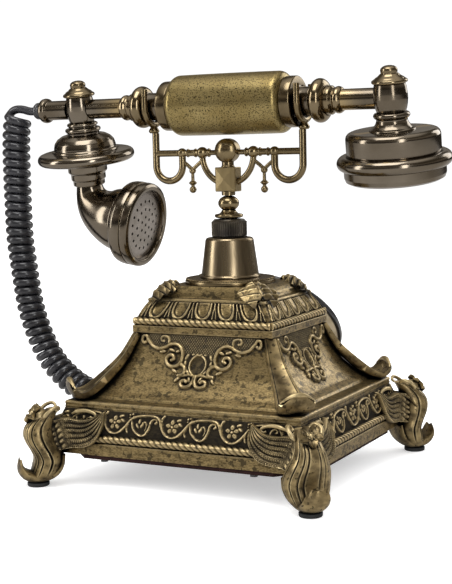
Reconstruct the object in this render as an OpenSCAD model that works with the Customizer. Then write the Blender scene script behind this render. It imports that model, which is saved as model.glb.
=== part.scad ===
// Cradle telephone in the French style, on a footed and moulded base.
// Millimetres. Z is up, the dial faces -Y and the mouthpiece is at +X.

/* [Base] */
// half width of the ledge slab
ledge_half_x = 72; // [71.5:0.1:72.5]
// half depth of the ledge slab
ledge_half_y = 65.75; // [65.25:0.05:66.25]
// height of the ledge top
ledge_z = 47; // [46.8:0.1:47.2]
// half width of the plinth
plinth_half_x = 78; // [77.5:0.1:78.5]
// half depth of the plinth
plinth_half_y = 71.5; // [71:0.1:72]
// underside of the plinth
plinth_z = 18; // [17.8:0.1:18.2]
// half width of the upper band
band_half_x = 43.7; // [43.2:0.1:44.2]
// half depth of the upper band
band_half_y = 37.8; // [37.3:0.1:38.3]
// radius of the flange disc on top
disc_r = 26; // [24:0.5:26]
// radius of the rope mouldings
rope_r = 2.1; // [1.9:0.1:2.2]
// thickness of the base plate
plate_t = 2.4; // [2:0.2:3]

/* [Feet] */
// foot pad centre from the middle, along X
foot_x = 83; // [82.5:0.1:83.5]
// foot pad centre from the middle, along Y
foot_y = 79.5; // [79:0.1:80]
// rubber pad radius
pad_r = 6.2; // [5:0.1:7]
// rubber pad thickness
pad_t = 2; // [1.5:0.1:2]

/* [Dial] */
// lean of the dial back from upright
dial_tilt = 43; // [42.5:0.5:43.5]
// dial centre, distance in front of the middle
dial_front = 58; // [58:0.5:60]
// dial centre height
dial_z = 79; // [78.5:0.5:79.5]
// outer radius of the bezel ring
bezel_r = 43.5; // [42:0.5:43.5]
// finger wheel radius
wheel_r = 37; // [36:0.5:37.5]
// finger hole radius
hole_r = 6.4; // [6:0.1:6.6]
// finger hole circle radius
hole_circle_r = 27.5; // [27:0.5:28]
// number of finger holes
hole_count = 10; // [10]

/* [Stem and cradle] */
// stem radius
stem_r = 3.45; // [3.2:0.05:3.6]
// radial clearance of the stem in its guide
guide_gap = 0.08; // [0.06:0.01:0.1]
// top of the cone pedestal
cone_top_z = 134.6; // [134:0.2:135]
// distance of the yoke rods from the middle
rod_x = 46.9; // [46.7:0.1:47.1]
// height of the yoke bar
bar_z = 183.1; // [183:0.1:183.3]
// radius of the U loops
loop_r = 8.7; // [8.6:0.1:8.8]

/* [Handset] */
// height of the handset axis
handset_z = 210.4; // [210.4:0.1:211]
// lean of the whole handset about its axis
handset_lean = 9; // [0:1:12]
// half length of the grip
grip_half = 35.5; // [35:0.1:35.7]
// grip radius
grip_r = 17.3; // [16.5:0.1:18]
// sideways offset of the grip and its ferrules towards the earpiece
grip_shift = -2.7; // [-2.8:0.1:-2.6]
// sideways offset of the collar rings
collar_shift = -1.5; // [-1.6:0.1:-1.4]
// distance of the posts from the middle
post_x = 98.6; // [98.6]
// radius of the earpiece drum
drum_r = 25.8; // [25.5:0.1:26.2]
// outer radius of the earpiece ring
ear_ring_r = 31.4; // [31:0.1:31.8]
// radius of the mouthpiece brim
brim_r = 29.3; // [28:0.1:30]
// radius of the mouthpiece rim
horn_rim_r = 25.4; // [25:0.1:26]
// radius of the small holes in the mouthpiece grille
grille_hole_r = 0.9; // [0.8:0.1:1.1]
// number of hole rings in the mouthpiece grille
grille_rings = 3; // [2:1:3]

/* [Cord] */
// radius of the cord wire
wire_r = 2.5; // [2:0.1:2.8]
// outer radius of the coil
coil_r = 8.7; // [8:0.1:8.8]
// sides of the swept tube
cord_sides = 12; // [8:1:12]

/* [Hidden] */
$fn = 96;
wall_top_z = 108.6;
foot_lean = 45;
strap_lean = 44.6;
base_rope_z = 27.3;
band_rope_z = 89.1;
rope_inset = 1.2;
core_r = 5;
neck_r = 8;
fork_gap = 0.35;
fork_rod_r = 2;
fork_x = rod_x + 1.05;
fork_foot_z = 195;
prong_rise = 9.6;
hub_r = 6.9;
hub_z = 184.1;
hub_thick = 7.2;
block_size = [13, 7.2, 13.9];
block_z = 160.8;
ball_near_x = 16.3;
ball_far_x = 29.6;
stem_bottom_z = 84;
stem_room_r = stem_r + 1.2;
screw_r = 1.5;
board_screw_r = 1.3;
board_z = 24;
board_top_z = 25.6;
jack_w = 16;
jack_h = 12;
cup_back = -25;
cup_lip = -2.4;
cup_r = 41.5;
capsule_bore_r = 22.4;
ear_hole_r = 0.9;
ear_cap_r = 27.8;
ferrule_x = 42.2;
collar_x = 52.3;
collar_end_x = 60.6;
arm_x = 70;
mouth_post_r = 8.6;
ear_post_r = 9.4;
bushing_x = 130.8;
drum_low = -31.4;
ring_low = -36.6;
dome_low = -31.8;
coil_route = [
    [144.6, 0, 207], [145.6, 0, 202], [146.4, 0, 195], [146.9, 0, 184], [147, 0, 171],
    [147, 0, 158], [146.9, 0, 145], [146.4, 0, 131], [144.6, 0, 117], [142.8, 0, 104],
    [140.4, 0, 90], [136.6, 0, 78], [131.2, 0, 66], [124, 0, 55], [114.6, 0, 46.5],
    [104.8, 0, 40.4], [95, 0, 37.2]
];
top_lead_route = [
    [130.8, 0, 210.4], [134.6, 0, 210.4], [137, 0, 210.8], [140, 0, 211.6], [143.2, 0, 212],
    [146, 0, 211.8], [148.4, 0, 210.9], [150.02, 0, 209.49], [150.29, 0, 208.14]
];
low_lead_route = [[95, 0, 37.2], [92.55, 0, 36.4], [91, 0, 36], [89, 0, 36]];
plug_x = 89;
line_y = -24;
socket_z = 36;

housing_rings = [
    [plinth_half_x, plinth_half_y, plinth_z],
    [plinth_half_x, plinth_half_y, 24.6],
    [plinth_half_x - 1.6, plinth_half_y - 1.6, 25.2],
    [plinth_half_x - 1.8, plinth_half_y - 1.8, 29.6],
    [plinth_half_x - 2.1, plinth_half_y - 2.1, 33],
    [plinth_half_x - 3.2, plinth_half_y - 3.2, 37],
    [plinth_half_x - 5.4, plinth_half_y - 5.2, 42.4],
    [ledge_half_x, ledge_half_y, 42.8],
    [ledge_half_x + 0.4, ledge_half_y + 0.4, 44.4],
    [ledge_half_x + 0.4, ledge_half_y + 0.4, 45.4],
    [ledge_half_x - 0.6, ledge_half_y - 0.6, ledge_z],
    [64.4, 58.3, ledge_z + 0.2],
    [63.6, 57.5, 48.4],
    [59.3, 53.3, 50.9],
    [55.1, 49, 54.7],
    [50.8, 44.8, 60],
    [46.5, 40.6, 68],
    [43.3, 37.4, 76],
    [41.9, 36, 82.3],
    [band_half_x, band_half_y, 82.6],
    [band_half_x, band_half_y, 86.8],
    [band_half_x - 1.7, band_half_y - 1.7, 87.2],
    [band_half_x - 1.9, band_half_y - 1.9, 90.8],
    [39.8, 34.2, 95],
    [36.2, 31.2, 100],
    [37, 32, 100.6],
    [36.4, 31.4, 101.9],
    [33.9, 29, 102.3],
    [32.9, 28.5, 105],
    [30.2, 27.4, 107.4],
    [26.8, 26.6, wall_top_z]
];
cavity_rings = [
    [73, 66.5, plinth_z - 1],
    [73, 66.5, 27],
    [69.5, 63.4, 38.6],
    [60, 54, 43.2],
    [55, 49, 49.4],
    [46, 40, 60],
    [40.5, 34.5, 71],
    [38, 32, 82],
    [36.5, 30.6, 91],
    [31, 26, 98]
];

scroll_side = [
    [-4, 76], [-0.6, 81], [3.2, 75.5], [6.1, 70.9], [10.1, 66.8], [15.4, 62.5], [20.7, 58.9], [25.5, 57],
    [29.1, 57], [32.4, 58.2], [34.6, 57.2], [35.9, 54.6], [35.4, 51.4],
    [33.4, 49], [30.2, 47.6], [26, ledge_z], [10, ledge_z], [-4, 60]
];

scroll_plan = [
    [-6, -3.6], [5, -4.6], [15, -6], [24, -7.6], [31, -8.4], [35, -6.6], [36.6, 0],
    [35, 6.6], [31, 8.4], [24, 7.6], [15, 6], [5, 4.6], [-6, 3.6]
];

foot_side = [
    [-5.8, pad_t], [5.4, pad_t], [8.6, 6.5], [9.6, 13.3], [8.4, 12.4], [6.4, 9.9], [3.4, 9.2], [2.6, 15.9],
    [3.9, 19.5], [6.9, 25.5], [7.3, 29], [6, 33.6], [2.6, 36.4], [-3, 38.2], [-12, 40.4], [-18, 41.6],
    [-26, 30], [-20, plinth_z], [-14.2, 17.4], [-13.1, 12], [-10.6, 7]
];

foot_front = [
    [-6.2, pad_t], [6.2, pad_t], [8, 5], [10.4, 10.5], [12, 17], [12.2, 24], [11.6, 32], [9, 39], [6, 44],
    [-6, 44], [-9, 39], [-11.6, 32], [-12.2, 24], [-12, 17], [-10.4, 10.5], [-8, 5]
];

wing_outline = [
    [83, 31], [76, 35.4], [68.6, 37.9], [61, 37], [55.2, 37.6], [50.6, 39.8], [45.2, 42.2], [44.4, 36],
    [46.6, 29.5], [50.6, 24.8], [56, 22.2], [64, 21.6], [72, 19.4], [83, 22]
];

plate_outline = [
    [76, -52], [76, 52], [58, 70.4], [-58, 70.4], [-76, 52], [-76, -52], [-58, -70.4], [58, -70.4]
];

// the upright post under each finial: a plain barrel
function post_outline(r) = [
    [0, -7.6], [0.84 * r, -7.6], [0.95 * r, -4], [r, 0], [0.97 * r, 4], [0.9 * r, 7.8], [0, 7.8]
];
function finial_outline(brim) = [
    [0, 7.8], [brim - 0.9, 7.8], [brim - 0.2, 8.3], [brim, 9], [brim - 0.4, 9.7], [brim - 1.3, 10.2],
    [7, 11.4],
    [5.4, 12.7], [4.5, 13.1], [4.6, 13.7], [4.7, 15.1], [4.3, 16], [3, 16.9], [1.4, 17.3], [0, 17.35]
];
// stations of the elbow: centre x, centre z, radius, heading
elbow_stations = [
    [post_x, -46, 7.8, -90], [98.5, -49, 8.4, -94], [98, -52, 9.5, -103], [96.6, -55.2, 11.2, -116],
    [94.2, -58.6, 13.2, -130], [90.8, -61.8, 15.2, -144], [86.6, -64.6, 17.1, -156],
    [82, -66.8, 18.5, -165], [77.6, -68.2, 19.2, -170.5]
];

// which sub-part to draw

function arc(cx, cy, r, a0, a1, n) = [
    for (i = [0:n]) let (a = a0 + (a1 - a0) * i / n) [cx + r * cos(a), cy + r * sin(a)]];

module bronze() { color([0.45, 0.36, 0.2]) children(); }
module brass() { color([0.62, 0.5, 0.3]) children(); }
module black() { color([0.06, 0.06, 0.07]) children(); }

// A closed solid through rectangular rings of [half width, half depth, height].
module tiers(rings, grow = 0) {
    n = len(rings);
    points = [for (r = rings) for (c = [[1, 1], [-1, 1], [-1, -1], [1, -1]])
        [c[0] * (r[0] + grow), c[1] * (r[1] + grow), r[2]]];
    sides = [for (k = [0:n - 2]) for (i = [0:3])
        [4 * k + i, 4 * k + 4 + i, 4 * k + 4 + (i + 1) % 4, 4 * k + (i + 1) % 4]];
    polyhedron(points = points, faces = concat(
        [[0, 1, 2, 3]], sides, [[for (i = [3:-1:0]) 4 * (n - 1) + i]]));
}

module lathe_z(points) { rotate_extrude() polygon(points); }
module lathe_x(points) { rotate([0, 90, 0]) rotate_extrude() polygon(points); }
module ring_z(R, r) { rotate_extrude() translate([R, 0]) circle(r); }
module disc_z(r, z0, z1) { translate([0, 0, z0]) cylinder(r = r, h = z1 - z0); }
module rod_x_between(r, x0, x1) { translate([x0, 0, 0]) rotate([0, 90, 0]) cylinder(r = r, h = x1 - x0); }
module both_x() { for (s = [0, 1]) mirror([s, 0, 0]) children(); }
module four_corners() {
    for (sx = [0, 1]) for (sy = [0, 1]) mirror([sx, 0, 0]) mirror([0, sy, 0]) children();
}
module at_dial() { translate([0, -dial_front, dial_z]) rotate([90 - dial_tilt, 0, 0]) children(); }
module at_handset() { translate([0, 0, handset_z]) rotate([-handset_lean, 0, 0]) children(); }
module at_mouth() { at_handset() translate([post_x, 0, 0]) children(); }
module at_ear() { at_handset() translate([-post_x, 0, 0]) children(); }
module at_horn() { at_handset() translate([77.6, 0, -68.2]) rotate([0, -99.5, 0]) children(); }
module at_foot() { translate([foot_x, foot_y, 0]) rotate([0, 0, foot_lean]) children(); }

// A round tube swept along a route that lies in an upright plane.
module swept(route, r) {
    n = len(route);
    function dir(i) = let (d = route[min(i + 1, n - 1)] - route[max(i - 1, 0)]) d / norm(d);
    points = [for (i = [0:n - 1]) let (d = dir(i), u = [0, 1, 0], v = cross(d, u))
        for (k = [0:cord_sides - 1]) let (a = 360 * k / cord_sides)
            route[i] + r * (cos(a) * u + sin(a) * v)];
    sides = [for (i = [0:n - 2]) for (k = [0:cord_sides - 1])
        let (a = i * cord_sides, j = (k + 1) % cord_sides)
            [a + k, a + cord_sides + k, a + cord_sides + j, a + j]];
    polyhedron(points = points, faces = concat(
        [[for (k = [0:cord_sides - 1]) k]], sides,
        [[for (k = [cord_sides - 1:-1:0]) (n - 1) * cord_sides + k]]));
}

module rope_loop(hx, hy, z) {
    for (sy = [-1, 1]) translate([-hx, sy * hy, z]) rotate([0, 90, 0]) cylinder(r = rope_r, h = 2 * hx);
    for (sx = [-1, 1]) translate([sx * hx, -hy, z]) rotate([-90, 0, 0]) cylinder(r = rope_r, h = 2 * hy);
    for (sx = [-1, 1]) for (sy = [-1, 1]) translate([sx * hx, sy * hy, z]) sphere(rope_r);
}
module rope_shapes() {
    rope_loop(plinth_half_x - rope_inset, plinth_half_y - rope_inset, base_rope_z);
    rope_loop(band_half_x - rope_inset, band_half_y - rope_inset, band_rope_z);
}
module cup_shape(grow = 0) {
    at_dial() {
        translate([0, 0, cup_back]) cylinder(r1 = 31 + grow, r2 = cup_r + grow, h = 22);
        disc_z(cup_r + grow, -3.2, cup_lip);
    }
}
module outer_body(grow = 0) { tiers(housing_rings, grow); }
module base_screw_spots() {
    for (sx = [-1, 1]) for (sy = [-1, 1]) translate([sx * 46, sy * 68.2, 0]) children();
}

module jack_room(y) {
    translate([58, y - jack_w / 2 - 0.1, socket_z - jack_h / 2 - 0.1])
        cube([22, jack_w + 0.2, jack_h + 0.2]);
}

module housing() {
    bronze() difference() {
        outer_body();
        tiers(cavity_rings);
        rope_shapes();
        cup_shape();
        at_dial() disc_z(4.4, cup_back - 4, cup_back + 1);
        disc_z(stem_room_r, 90, wall_top_z + 1);
        base_screw_spots() disc_z(screw_r, plinth_z - 1, plinth_z + 6.8);
        jack_room(0);
        jack_room(line_y);
    }
}
module rope_mouldings() {
    bronze() difference() {
        rope_shapes();
        cup_shape();
        feet_solid();
        scroll_solids();
    }
}
module wave(period, count, r_out, r_in, z) {
    for (i = [0:count - 1]) translate([(i - (count - 1) / 2) * period, 0, z]) rotate([90, 0, 0])
        difference() {
            cylinder(r = r_out, h = 200, center = true);
            cylinder(r = r_in, h = 201, center = true);
        }
}
module vine_shape() {
    intersection() {
        difference() {
            outer_body(1.1);
            outer_body();
        }
        union() {
            intersection() {
                wave(19, 4, 5.8, 4.6, 36);
                translate([-42, -100, 30]) cube([84, 200, 12]);
            }
            rotate([0, 0, 90]) intersection() {
                wave(19, 4, 5.8, 4.6, 36);
                translate([-42, -100, 30]) cube([84, 200, 12]);
            }
        }
    }
}
module vine_relief() {
    bronze() difference() {
        vine_shape();
        for (y = [0, line_y]) translate([70, y - 9, socket_z - 7]) cube([20, 18, 14]);
    }
}
module egg_frieze() {
    bronze() difference() {
        union() {
            for (s = [-1, 1]) for (i = [-2:2]) translate([i * 14.4, s * 33.2, 95.4]) sphere(4.2);
            for (s = [-1, 1]) for (i = [-2:2]) translate([s * 38.6, i * 12, 95.4]) sphere(4.2);
        }
        outer_body();
        rope_shapes();
        cup_shape(0.1);
    }
}
module panel_outline(w) {
    square([w, 14], center = true);
    translate([0, -13]) circle(7);
}
module panel_relief() {
    bronze() difference() {
        intersection() {
            difference() {
                outer_body(1.2);
                outer_body();
            }
            union() {
                translate([0, 100, 74]) rotate([90, 0, 0]) linear_extrude(99) panel_outline(62);
                rotate([0, 0, 90]) translate([0, 100, 74]) rotate([90, 0, 0])
                    linear_extrude(200) panel_outline(50);
            }
        }
        scroll_solids();
        translate([-100, -100, 0]) cube([200, 100 - 20, 120]);
    }
}
module scroll_solids() {
    four_corners() translate([band_half_x, band_half_y, 0]) rotate([0, 0, strap_lean]) intersection() {
        rotate([90, 0, 0]) translate([0, 0, -12]) linear_extrude(24) polygon(scroll_side);
        linear_extrude(120) polygon(scroll_plan);
    }
}
module corner_scrolls() {
    bronze() difference() {
        scroll_solids();
        outer_body();
        cup_shape(0.2);
    }
}
module foot_leg() {
    at_foot() intersection() {
        rotate([90, 0, 0]) translate([0, 0, -15]) linear_extrude(30) polygon(foot_side);
        rotate([90, 0, 90]) translate([0, 0, -30]) linear_extrude(45) polygon(foot_front);
    }
}
module wing_along_x() {
    translate([0, plinth_half_y + 3.4, 0]) rotate([90, 0, 0]) linear_extrude(8) polygon(wing_outline);
}
module wing_along_y() {
    translate([plinth_half_x - 4.6, -6.5, 0]) rotate([90, 0, 90]) linear_extrude(8) polygon(wing_outline);
}
module feet_solid() {
    four_corners() {
        foot_leg();
        wing_along_x();
        wing_along_y();
    }
}
module rosettes() {
    four_corners() at_foot() translate([-7.6, 0, 39.6]) rotate([0, 42, 0]) cylinder(r = 5.6, h = 5.2);
}
module feet() {
    bronze() difference() {
        union() {
            feet_solid();
            rosettes();
        }
        outer_body();
        base_plate_solid();
    }
}
module foot_pads() {
    color([0.05, 0.05, 0.05]) four_corners() translate([foot_x, foot_y, 0]) cylinder(r = pad_r, h = pad_t);
}
module base_plate_solid() {
    translate([0, 0, plinth_z - plate_t]) linear_extrude(plate_t) polygon(plate_outline);
}
module board_spots() { for (sx = [-1, 1]) for (sy = [-1, 1]) translate([sx * 38, sy * 26, 0]) children(); }
module base_plate() {
    color([0.16, 0.05, 0.05]) difference() {
        union() {
            base_plate_solid();
            board_spots() disc_z(3, plinth_z - 1, board_z);
        }
        base_screw_spots() disc_z(screw_r, 10, 30);
        board_spots() disc_z(board_screw_r, plinth_z + 1, 30);
    }
}
module screws() {
    color([0.7, 0.7, 0.72]) {
        base_screw_spots() {
            disc_z(screw_r, plinth_z - plate_t, plinth_z + 6.8);
            disc_z(2.1, plinth_z - plate_t - 1.2, plinth_z - plate_t);
        }
        board_spots() {
            disc_z(board_screw_r, plinth_z + 1, board_top_z);
            disc_z(2.4, board_top_z, board_top_z + 1.4);
        }
    }
}
module flange_disc() {
    brass() difference() {
        union() {
            disc_z(disc_r, wall_top_z, 110.9);
            disc_z(disc_r - 0.9, 110.9, 111.8);
        }
        disc_z(stem_room_r, 100, 120);
    }
}
module pedestal_cone() {
    brass() difference() {
        union() {
            translate([0, 0, 111.8]) cylinder(r1 = 16.6, r2 = 13.7, h = cone_top_z - 111.8);
            disc_z(17.4, 111.8, 113);
        }
        disc_z(stem_room_r, 100, 140);
    }
}
module guide_collar() {
    black() difference() {
        union() {
            disc_z(10.2, cone_top_z, 143.8);
            translate([0, 0, 143.8]) cylinder(r1 = 10.2, r2 = 8.8, h = 1.4);
            disc_z(stem_room_r, 128, cone_top_z);
        }
        disc_z(stem_r + guide_gap, 100, 150);
    }
}
module circuit_board() {
    color([0.08, 0.25, 0.12]) difference() {
        translate([-44, -32, board_z]) cube([88, 64, board_top_z - board_z]);
        board_spots() disc_z(board_screw_r, 20, 30);
    }
}
module ringer() {
    black() difference() {
        translate([26, 6, 0]) disc_z(12, board_top_z, 34);
        translate([26, 6, 0]) disc_z(2.6, 30, 35);
    }
}
module hook_switch() {
    color([0.12, 0.12, 0.13]) {
        translate([-4, -9, board_top_z]) cube([8, 18, 66 - board_top_z]);
        difference() {
            translate([-10, -6, 66]) cube([20, 12, 12]);
            disc_z(2.1, 70, 80);
        }
    }
}
module switch_button() { color([0.75, 0.15, 0.1]) disc_z(2, 74, 83.7); }
module jack_box(y) {
    difference() {
        translate([plinth_half_x - 13, y - jack_w / 2, socket_z - jack_h / 2]) cube([13.6, jack_w, jack_h]);
        translate([plinth_half_x - 8.5, y - 5.4, socket_z - 3.8]) cube([12, 10.8, 7.6]);
    }
}
module cord_socket() { black() jack_box(0); }
module line_socket() { black() jack_box(line_y); }

module dial_cup() {
    color([0.72, 0.62, 0.46]) at_dial() difference() {
        union() {
            translate([0, 0, cup_back]) cylinder(r1 = 31, r2 = cup_r, h = 22);
            disc_z(cup_r, -3, cup_lip);
        }
        translate([0, 0, -22]) cylinder(r1 = 29, r2 = 38, h = 20);
        disc_z(4.2, -26, 0);
    }
}
module dial_bezel() {
    black() at_dial() difference() {
        union() {
            disc_z(bezel_r, cup_lip, 0.6);
            translate([0, 0, 0.6]) cylinder(r1 = bezel_r, r2 = bezel_r - 1.4, h = 1.2);
        }
        disc_z(38.2, -0.4, 3);
        disc_z(36, -4, 3);
    }
}
module number_plate() {
    color([0.93, 0.9, 0.82]) at_dial() difference() {
        disc_z(38, -0.4, -0.1);
        disc_z(4.2, -4, 2);
    }
}
module finger_stop() {
    color([0.8, 0.8, 0.82]) at_dial() rotate([0, 0, -52]) {
        translate([33, -1.4, 4.3]) cube([9.6, 2.8, 1.2]);
        translate([39.6, -1.4, 1.9]) cube([3, 2.8, 3]);
    }
}
module dial_bush() {
    brass() at_dial() difference() {
        union() {
            disc_z(4.2, -24.6, -0.1);
            disc_z(7, -21.9, -19.6);
        }
        disc_z(2.08, -30, 2);
    }
}
module finger_wheel() {
    black() at_dial() difference() {
        disc_z(wheel_r, 1.4, 3.2);
        for (k = [0:hole_count - 1]) rotate([0, 0, 30 * k - 20])
            translate([hole_circle_r, 0, 0]) disc_z(hole_r, 0, 5);
        disc_z(2, 0, 5);
    }
}
module hub_cap() {
    brass() at_dial() difference() {
        lathe_z([
            [0, 3.2], [15, 3.2], [15, 4.4], [14, 5], [12.6, 5.2], [12, 5.8], [8, 6.7], [4, 7.1], [0, 7.2]]);
        disc_z(2, 3, 4.4);
    }
}
module dial_spindle() {
    color([0.75, 0.75, 0.78]) at_dial() {
        disc_z(2, -24, 4.4);
        disc_z(3.2, -27, -24.9);
        disc_z(2, -25, -24);
    }
}

module stem() {
    brass() {
        disc_z(stem_r, stem_bottom_z, block_z);
        lathe_z([
            [0, 145.7], [6.4, 145.7], [8, 146.2], [8.3, 147], [8, 147.8], [5.6, 148.4], [4.4, 149.6],
            [0, 149.6]]);
        lathe_z(concat(
            [[0, 149.7]], [for (a = [-75:15:75]) [6.1 * cos(a), 154.1 + 4.5 * sin(a)]], [[0, 158.5]]));
    }
}
module stem_clip() {
    color([0.75, 0.75, 0.78]) difference() {
        disc_z(6.5, 86, 88);
        disc_z(stem_r, 80, 90);
    }
}
module block_box() {
    translate([-block_size[0] / 2, -block_size[1] / 2, block_z]) cube(block_size);
}
module block_pyramid() {
    w = block_size[0] / 2 - 0.2;
    y = block_size[1] / 2;
    low = block_z + 0.2;
    high = block_z + block_size[2] - 0.2;
    polyhedron(
        points = [[-w, y, low], [w, y, low], [w, y, high], [-w, y, high], [0, y + 2.6, (low + high) / 2]],
        faces = [[0, 3, 2, 1], [0, 1, 4], [1, 2, 4], [2, 3, 4], [3, 0, 4]]);
}
module stem_block() {
    brass() {
        block_box();
        for (s = [0, 1]) mirror([0, s, 0]) block_pyramid();
    }
}
module hub_room() {
    translate([0, 0, hub_z]) rotate([90, 0, 0]) cylinder(r = hub_r, h = hub_thick, center = true);
}
module hub_disc() {
    brass() {
        disc_z(stem_r, block_z + block_size[2], 180);
        hub_room();
        translate([0, 0, hub_z]) rotate([90, 0, 0])
            lathe_z([
                [0, -6.4], [2.6, -6], [4.8, -5], [6.2, -4.1], [6.7, -3.6], [6.7, 3.6], [6.2, 4.1],
                [4.8, 5], [2.6, 6], [0, 6.4]]);
    }
}
module yoke_side() {
    translate([0, 0, bar_z]) {
        rod_x_between(1.5, 6, 13);
        rod_x_between(1.9, 12, rod_x);
        translate([ball_far_x, 0, 0]) rotate([0, 90, 0]) sphere(2.9);
        translate([ball_near_x, 0, 0]) rotate([0, 90, 0]) sphere(3.4);
        for (x = [-4.4, 3.6]) translate([ball_near_x, 0, 0]) rod_x_between(2.5, x, x + 0.8);
    }
    translate([rod_x, 0, 0]) disc_z(2.1, 175.8, fork_foot_z);
    translate([rod_x - 2 * loop_r, 0, 0]) disc_z(2, 175.8, bar_z);
    translate([rod_x - loop_r, 0, 175.8]) rotate([90, 0, 0]) rotate([0, 0, 180])
        rotate_extrude(angle = 180) translate([loop_r, 0]) circle(2.05);
}
module bow() {
    translate([0, 0, bar_z - 1.7]) rotate([90, 0, 0]) rotate([0, 0, 180])
        rotate_extrude(angle = 180) translate([ball_near_x, 0]) circle(1.8);
}
module yoke() {
    brass() difference() {
        union() {
            both_x() yoke_side();
            bow();
        }
        hub_room();
        block_box();
    }
}
module fork() {
    seat_r = neck_r + fork_gap + fork_rod_r;
    translate([fork_x, 0, 0]) {
        lathe_z([
            [0, fork_foot_z], [2.5, fork_foot_z], [3.1, fork_foot_z + 0.9], [3.1, fork_foot_z + 1.7],
            [2.1, fork_foot_z + 3], [fork_rod_r, handset_z - seat_r], [0, handset_z - seat_r]]);
        translate([0, 0, handset_z]) rotate([0, 0, 90]) rotate([90, 0, 0]) rotate([0, 0, 180])
            rotate_extrude(angle = 180) translate([seat_r, 0]) circle(fork_rod_r);
        for (s = [-1, 1]) translate([0, s * seat_r, handset_z])
            cylinder(r1 = fork_rod_r, r2 = 1.8, h = prong_rise);
    }
}
module forks() {
    brass() both_x() fork();
}
module pendant() {
    translate([(ball_near_x + ball_far_x) / 2, 0, 0]) {
        for (s = [-1, 1]) translate([0, 0, 173.4]) rotate([0, s * 52, 0]) cylinder(r = 0.9, h = 8.4);
        translate([0, 0, 172.7]) sphere(1.9);
        disc_z(1.1, 162, 172);
        lathe_z([[0, 164.6], [1.3, 164.8], [2.4, 165.8], [1.3, 166.8], [0, 167]]);
        translate([0, 0, 162]) sphere(2);
    }
}
module pendants() {
    brass() difference() {
        both_x() pendant();
        yoke();
    }
}

module core_tube() {
    color([0.75, 0.75, 0.78]) at_handset() difference() {
        rod_x_between(core_r, -88, 88);
        rod_x_between(core_r - 1.6, -89, 89);
    }
}
module grip() {
    bronze() at_handset() translate([grip_shift, 0, 0]) lathe_x(concat(
        [[core_r, -grip_half], [13, -grip_half]],
        arc(grip_r - 4.4, -grip_half + 4.4, 4.4, -90, 0, 6),
        arc(grip_r - 4.4, grip_half - 4.4, 4.4, 0, 90, 6),
        [[13, grip_half], [core_r, grip_half]]));
}
module ferrules() {
    brass() at_handset() translate([grip_shift, 0, 0]) both_x() lathe_x([
        [core_r, grip_half], [13.8, grip_half], [14.2, grip_half + 0.4], [14.2, ferrule_x - 0.6],
        [13.6, ferrule_x], [core_r, ferrule_x]]);
}
module neck(x0, x1) {
    lathe_x([
        [core_r, x0], [8.8, x0], [8.8, x0 + 0.8], [neck_r, x0 + 1.2], [neck_r, x1 - 0.7], [8.8, x1 - 0.4],
        [8.8, x1], [core_r, x1]]);
}
module necks() {
    brass() at_handset() {
        neck(ferrule_x + grip_shift, collar_x + collar_shift);
        mirror([1, 0, 0]) neck(ferrule_x - grip_shift, collar_x - collar_shift);
    }
}
module collar_rings() {
    brass() at_handset() translate([collar_shift, 0, 0]) both_x() difference() {
        union() {
            translate([collar_x + 4.2, 0, 0]) rotate([0, 90, 0]) ring_z(8.2, 4);
            rod_x_between(8.6, collar_x, collar_end_x);
        }
        rod_x_between(core_r, 50, 63);
    }
}
module step_collars() {
    brass() at_handset() translate([collar_shift, 0, 0]) both_x() lathe_x([
        [core_r, collar_end_x], [8, collar_end_x], [8, 63.6], [7.2, 64.4], [6.4, 65], [6.6, 65.6],
        [7.3, 66.4], [7.5, 67.4], [7.3, 68.4], [6.6, 69.4], [6, arm_x], [core_r, arm_x]]);
}
module arm_tube(x0, post_r) {
    difference() {
        rod_x_between(5.8, x0, 97);
        rod_x_between(core_r, 66, 88);
        translate([post_x, 0, 0]) lathe_z(post_outline(post_r));
    }
}
module arm_tubes() {
    brass() at_handset() {
        arm_tube(arm_x + collar_shift, mouth_post_r);
        mirror([1, 0, 0]) arm_tube(arm_x - collar_shift, ear_post_r);
    }
}
module posts() {
    brass() {
        at_mouth() lathe_z(post_outline(mouth_post_r));
        at_ear() lathe_z(post_outline(ear_post_r));
    }
}
module finials() {
    brass() {
        at_mouth() lathe_z(finial_outline(9.6));
        at_ear() lathe_z(finial_outline(9.9));
    }
}
module tail_tube() {
    brass() at_handset() difference() {
        union() {
            rod_x_between(5.8, 100, 121);
            lathe_x([
                [0, 120.6], [6.2, 120.6], [7.2, 121.6], [7.5, 123.2], [7.2, 124.8], [6.2, 125.8],
                [0, 125.8]]);
        }
        translate([post_x, 0, 0]) lathe_z(post_outline(mouth_post_r));
        rod_x_between(wire_r, 112, 127);
    }
}
module cord_bushing() {
    black() at_handset() lathe_x([
        [wire_r, 125.8], [5.4, 125.8], [5.4, 127.6], [4.9, 128], [5, 129.6], [4.4, bushing_x],
        [wire_r, bushing_x]]);
}
module ear_neck() {
    brass() at_ear() lathe_z([
        [0, -7.6], [8.6, -7.6], [9.6, -8.2], [10, -9.3], [9.6, -10.4], [8.6, -11], [8.5, -12], [9, -13.4],
        [10, -14.8], [11.4, -16], [12.6, -16.6], [12.6, -17.2], [0, -17.2]]);
}
module ear_drum() {
    brass() at_ear() difference() {
        lathe_z(concat(
            [[0, -17.2], [drum_r - 3, -17.2]],
            arc(drum_r - 3, -20.2, 3, 75, 0, 4),
            [[drum_r, drum_low], [0, drum_low]]));
        disc_z(capsule_bore_r, drum_low - 1, -20.4);
    }
}
module ear_ring() {
    brass() at_ear() difference() {
        union() {
            translate([0, 0, -33.6]) ring_z(ear_ring_r - 3.9, 3.9);
            disc_z(ear_ring_r - 3.9, ring_low, drum_low);
        }
        disc_z(capsule_bore_r, -50, 0);
        disc_z(drum_r, drum_low, 0);
        disc_z(ear_cap_r, -50, ring_low);
    }
}
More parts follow.
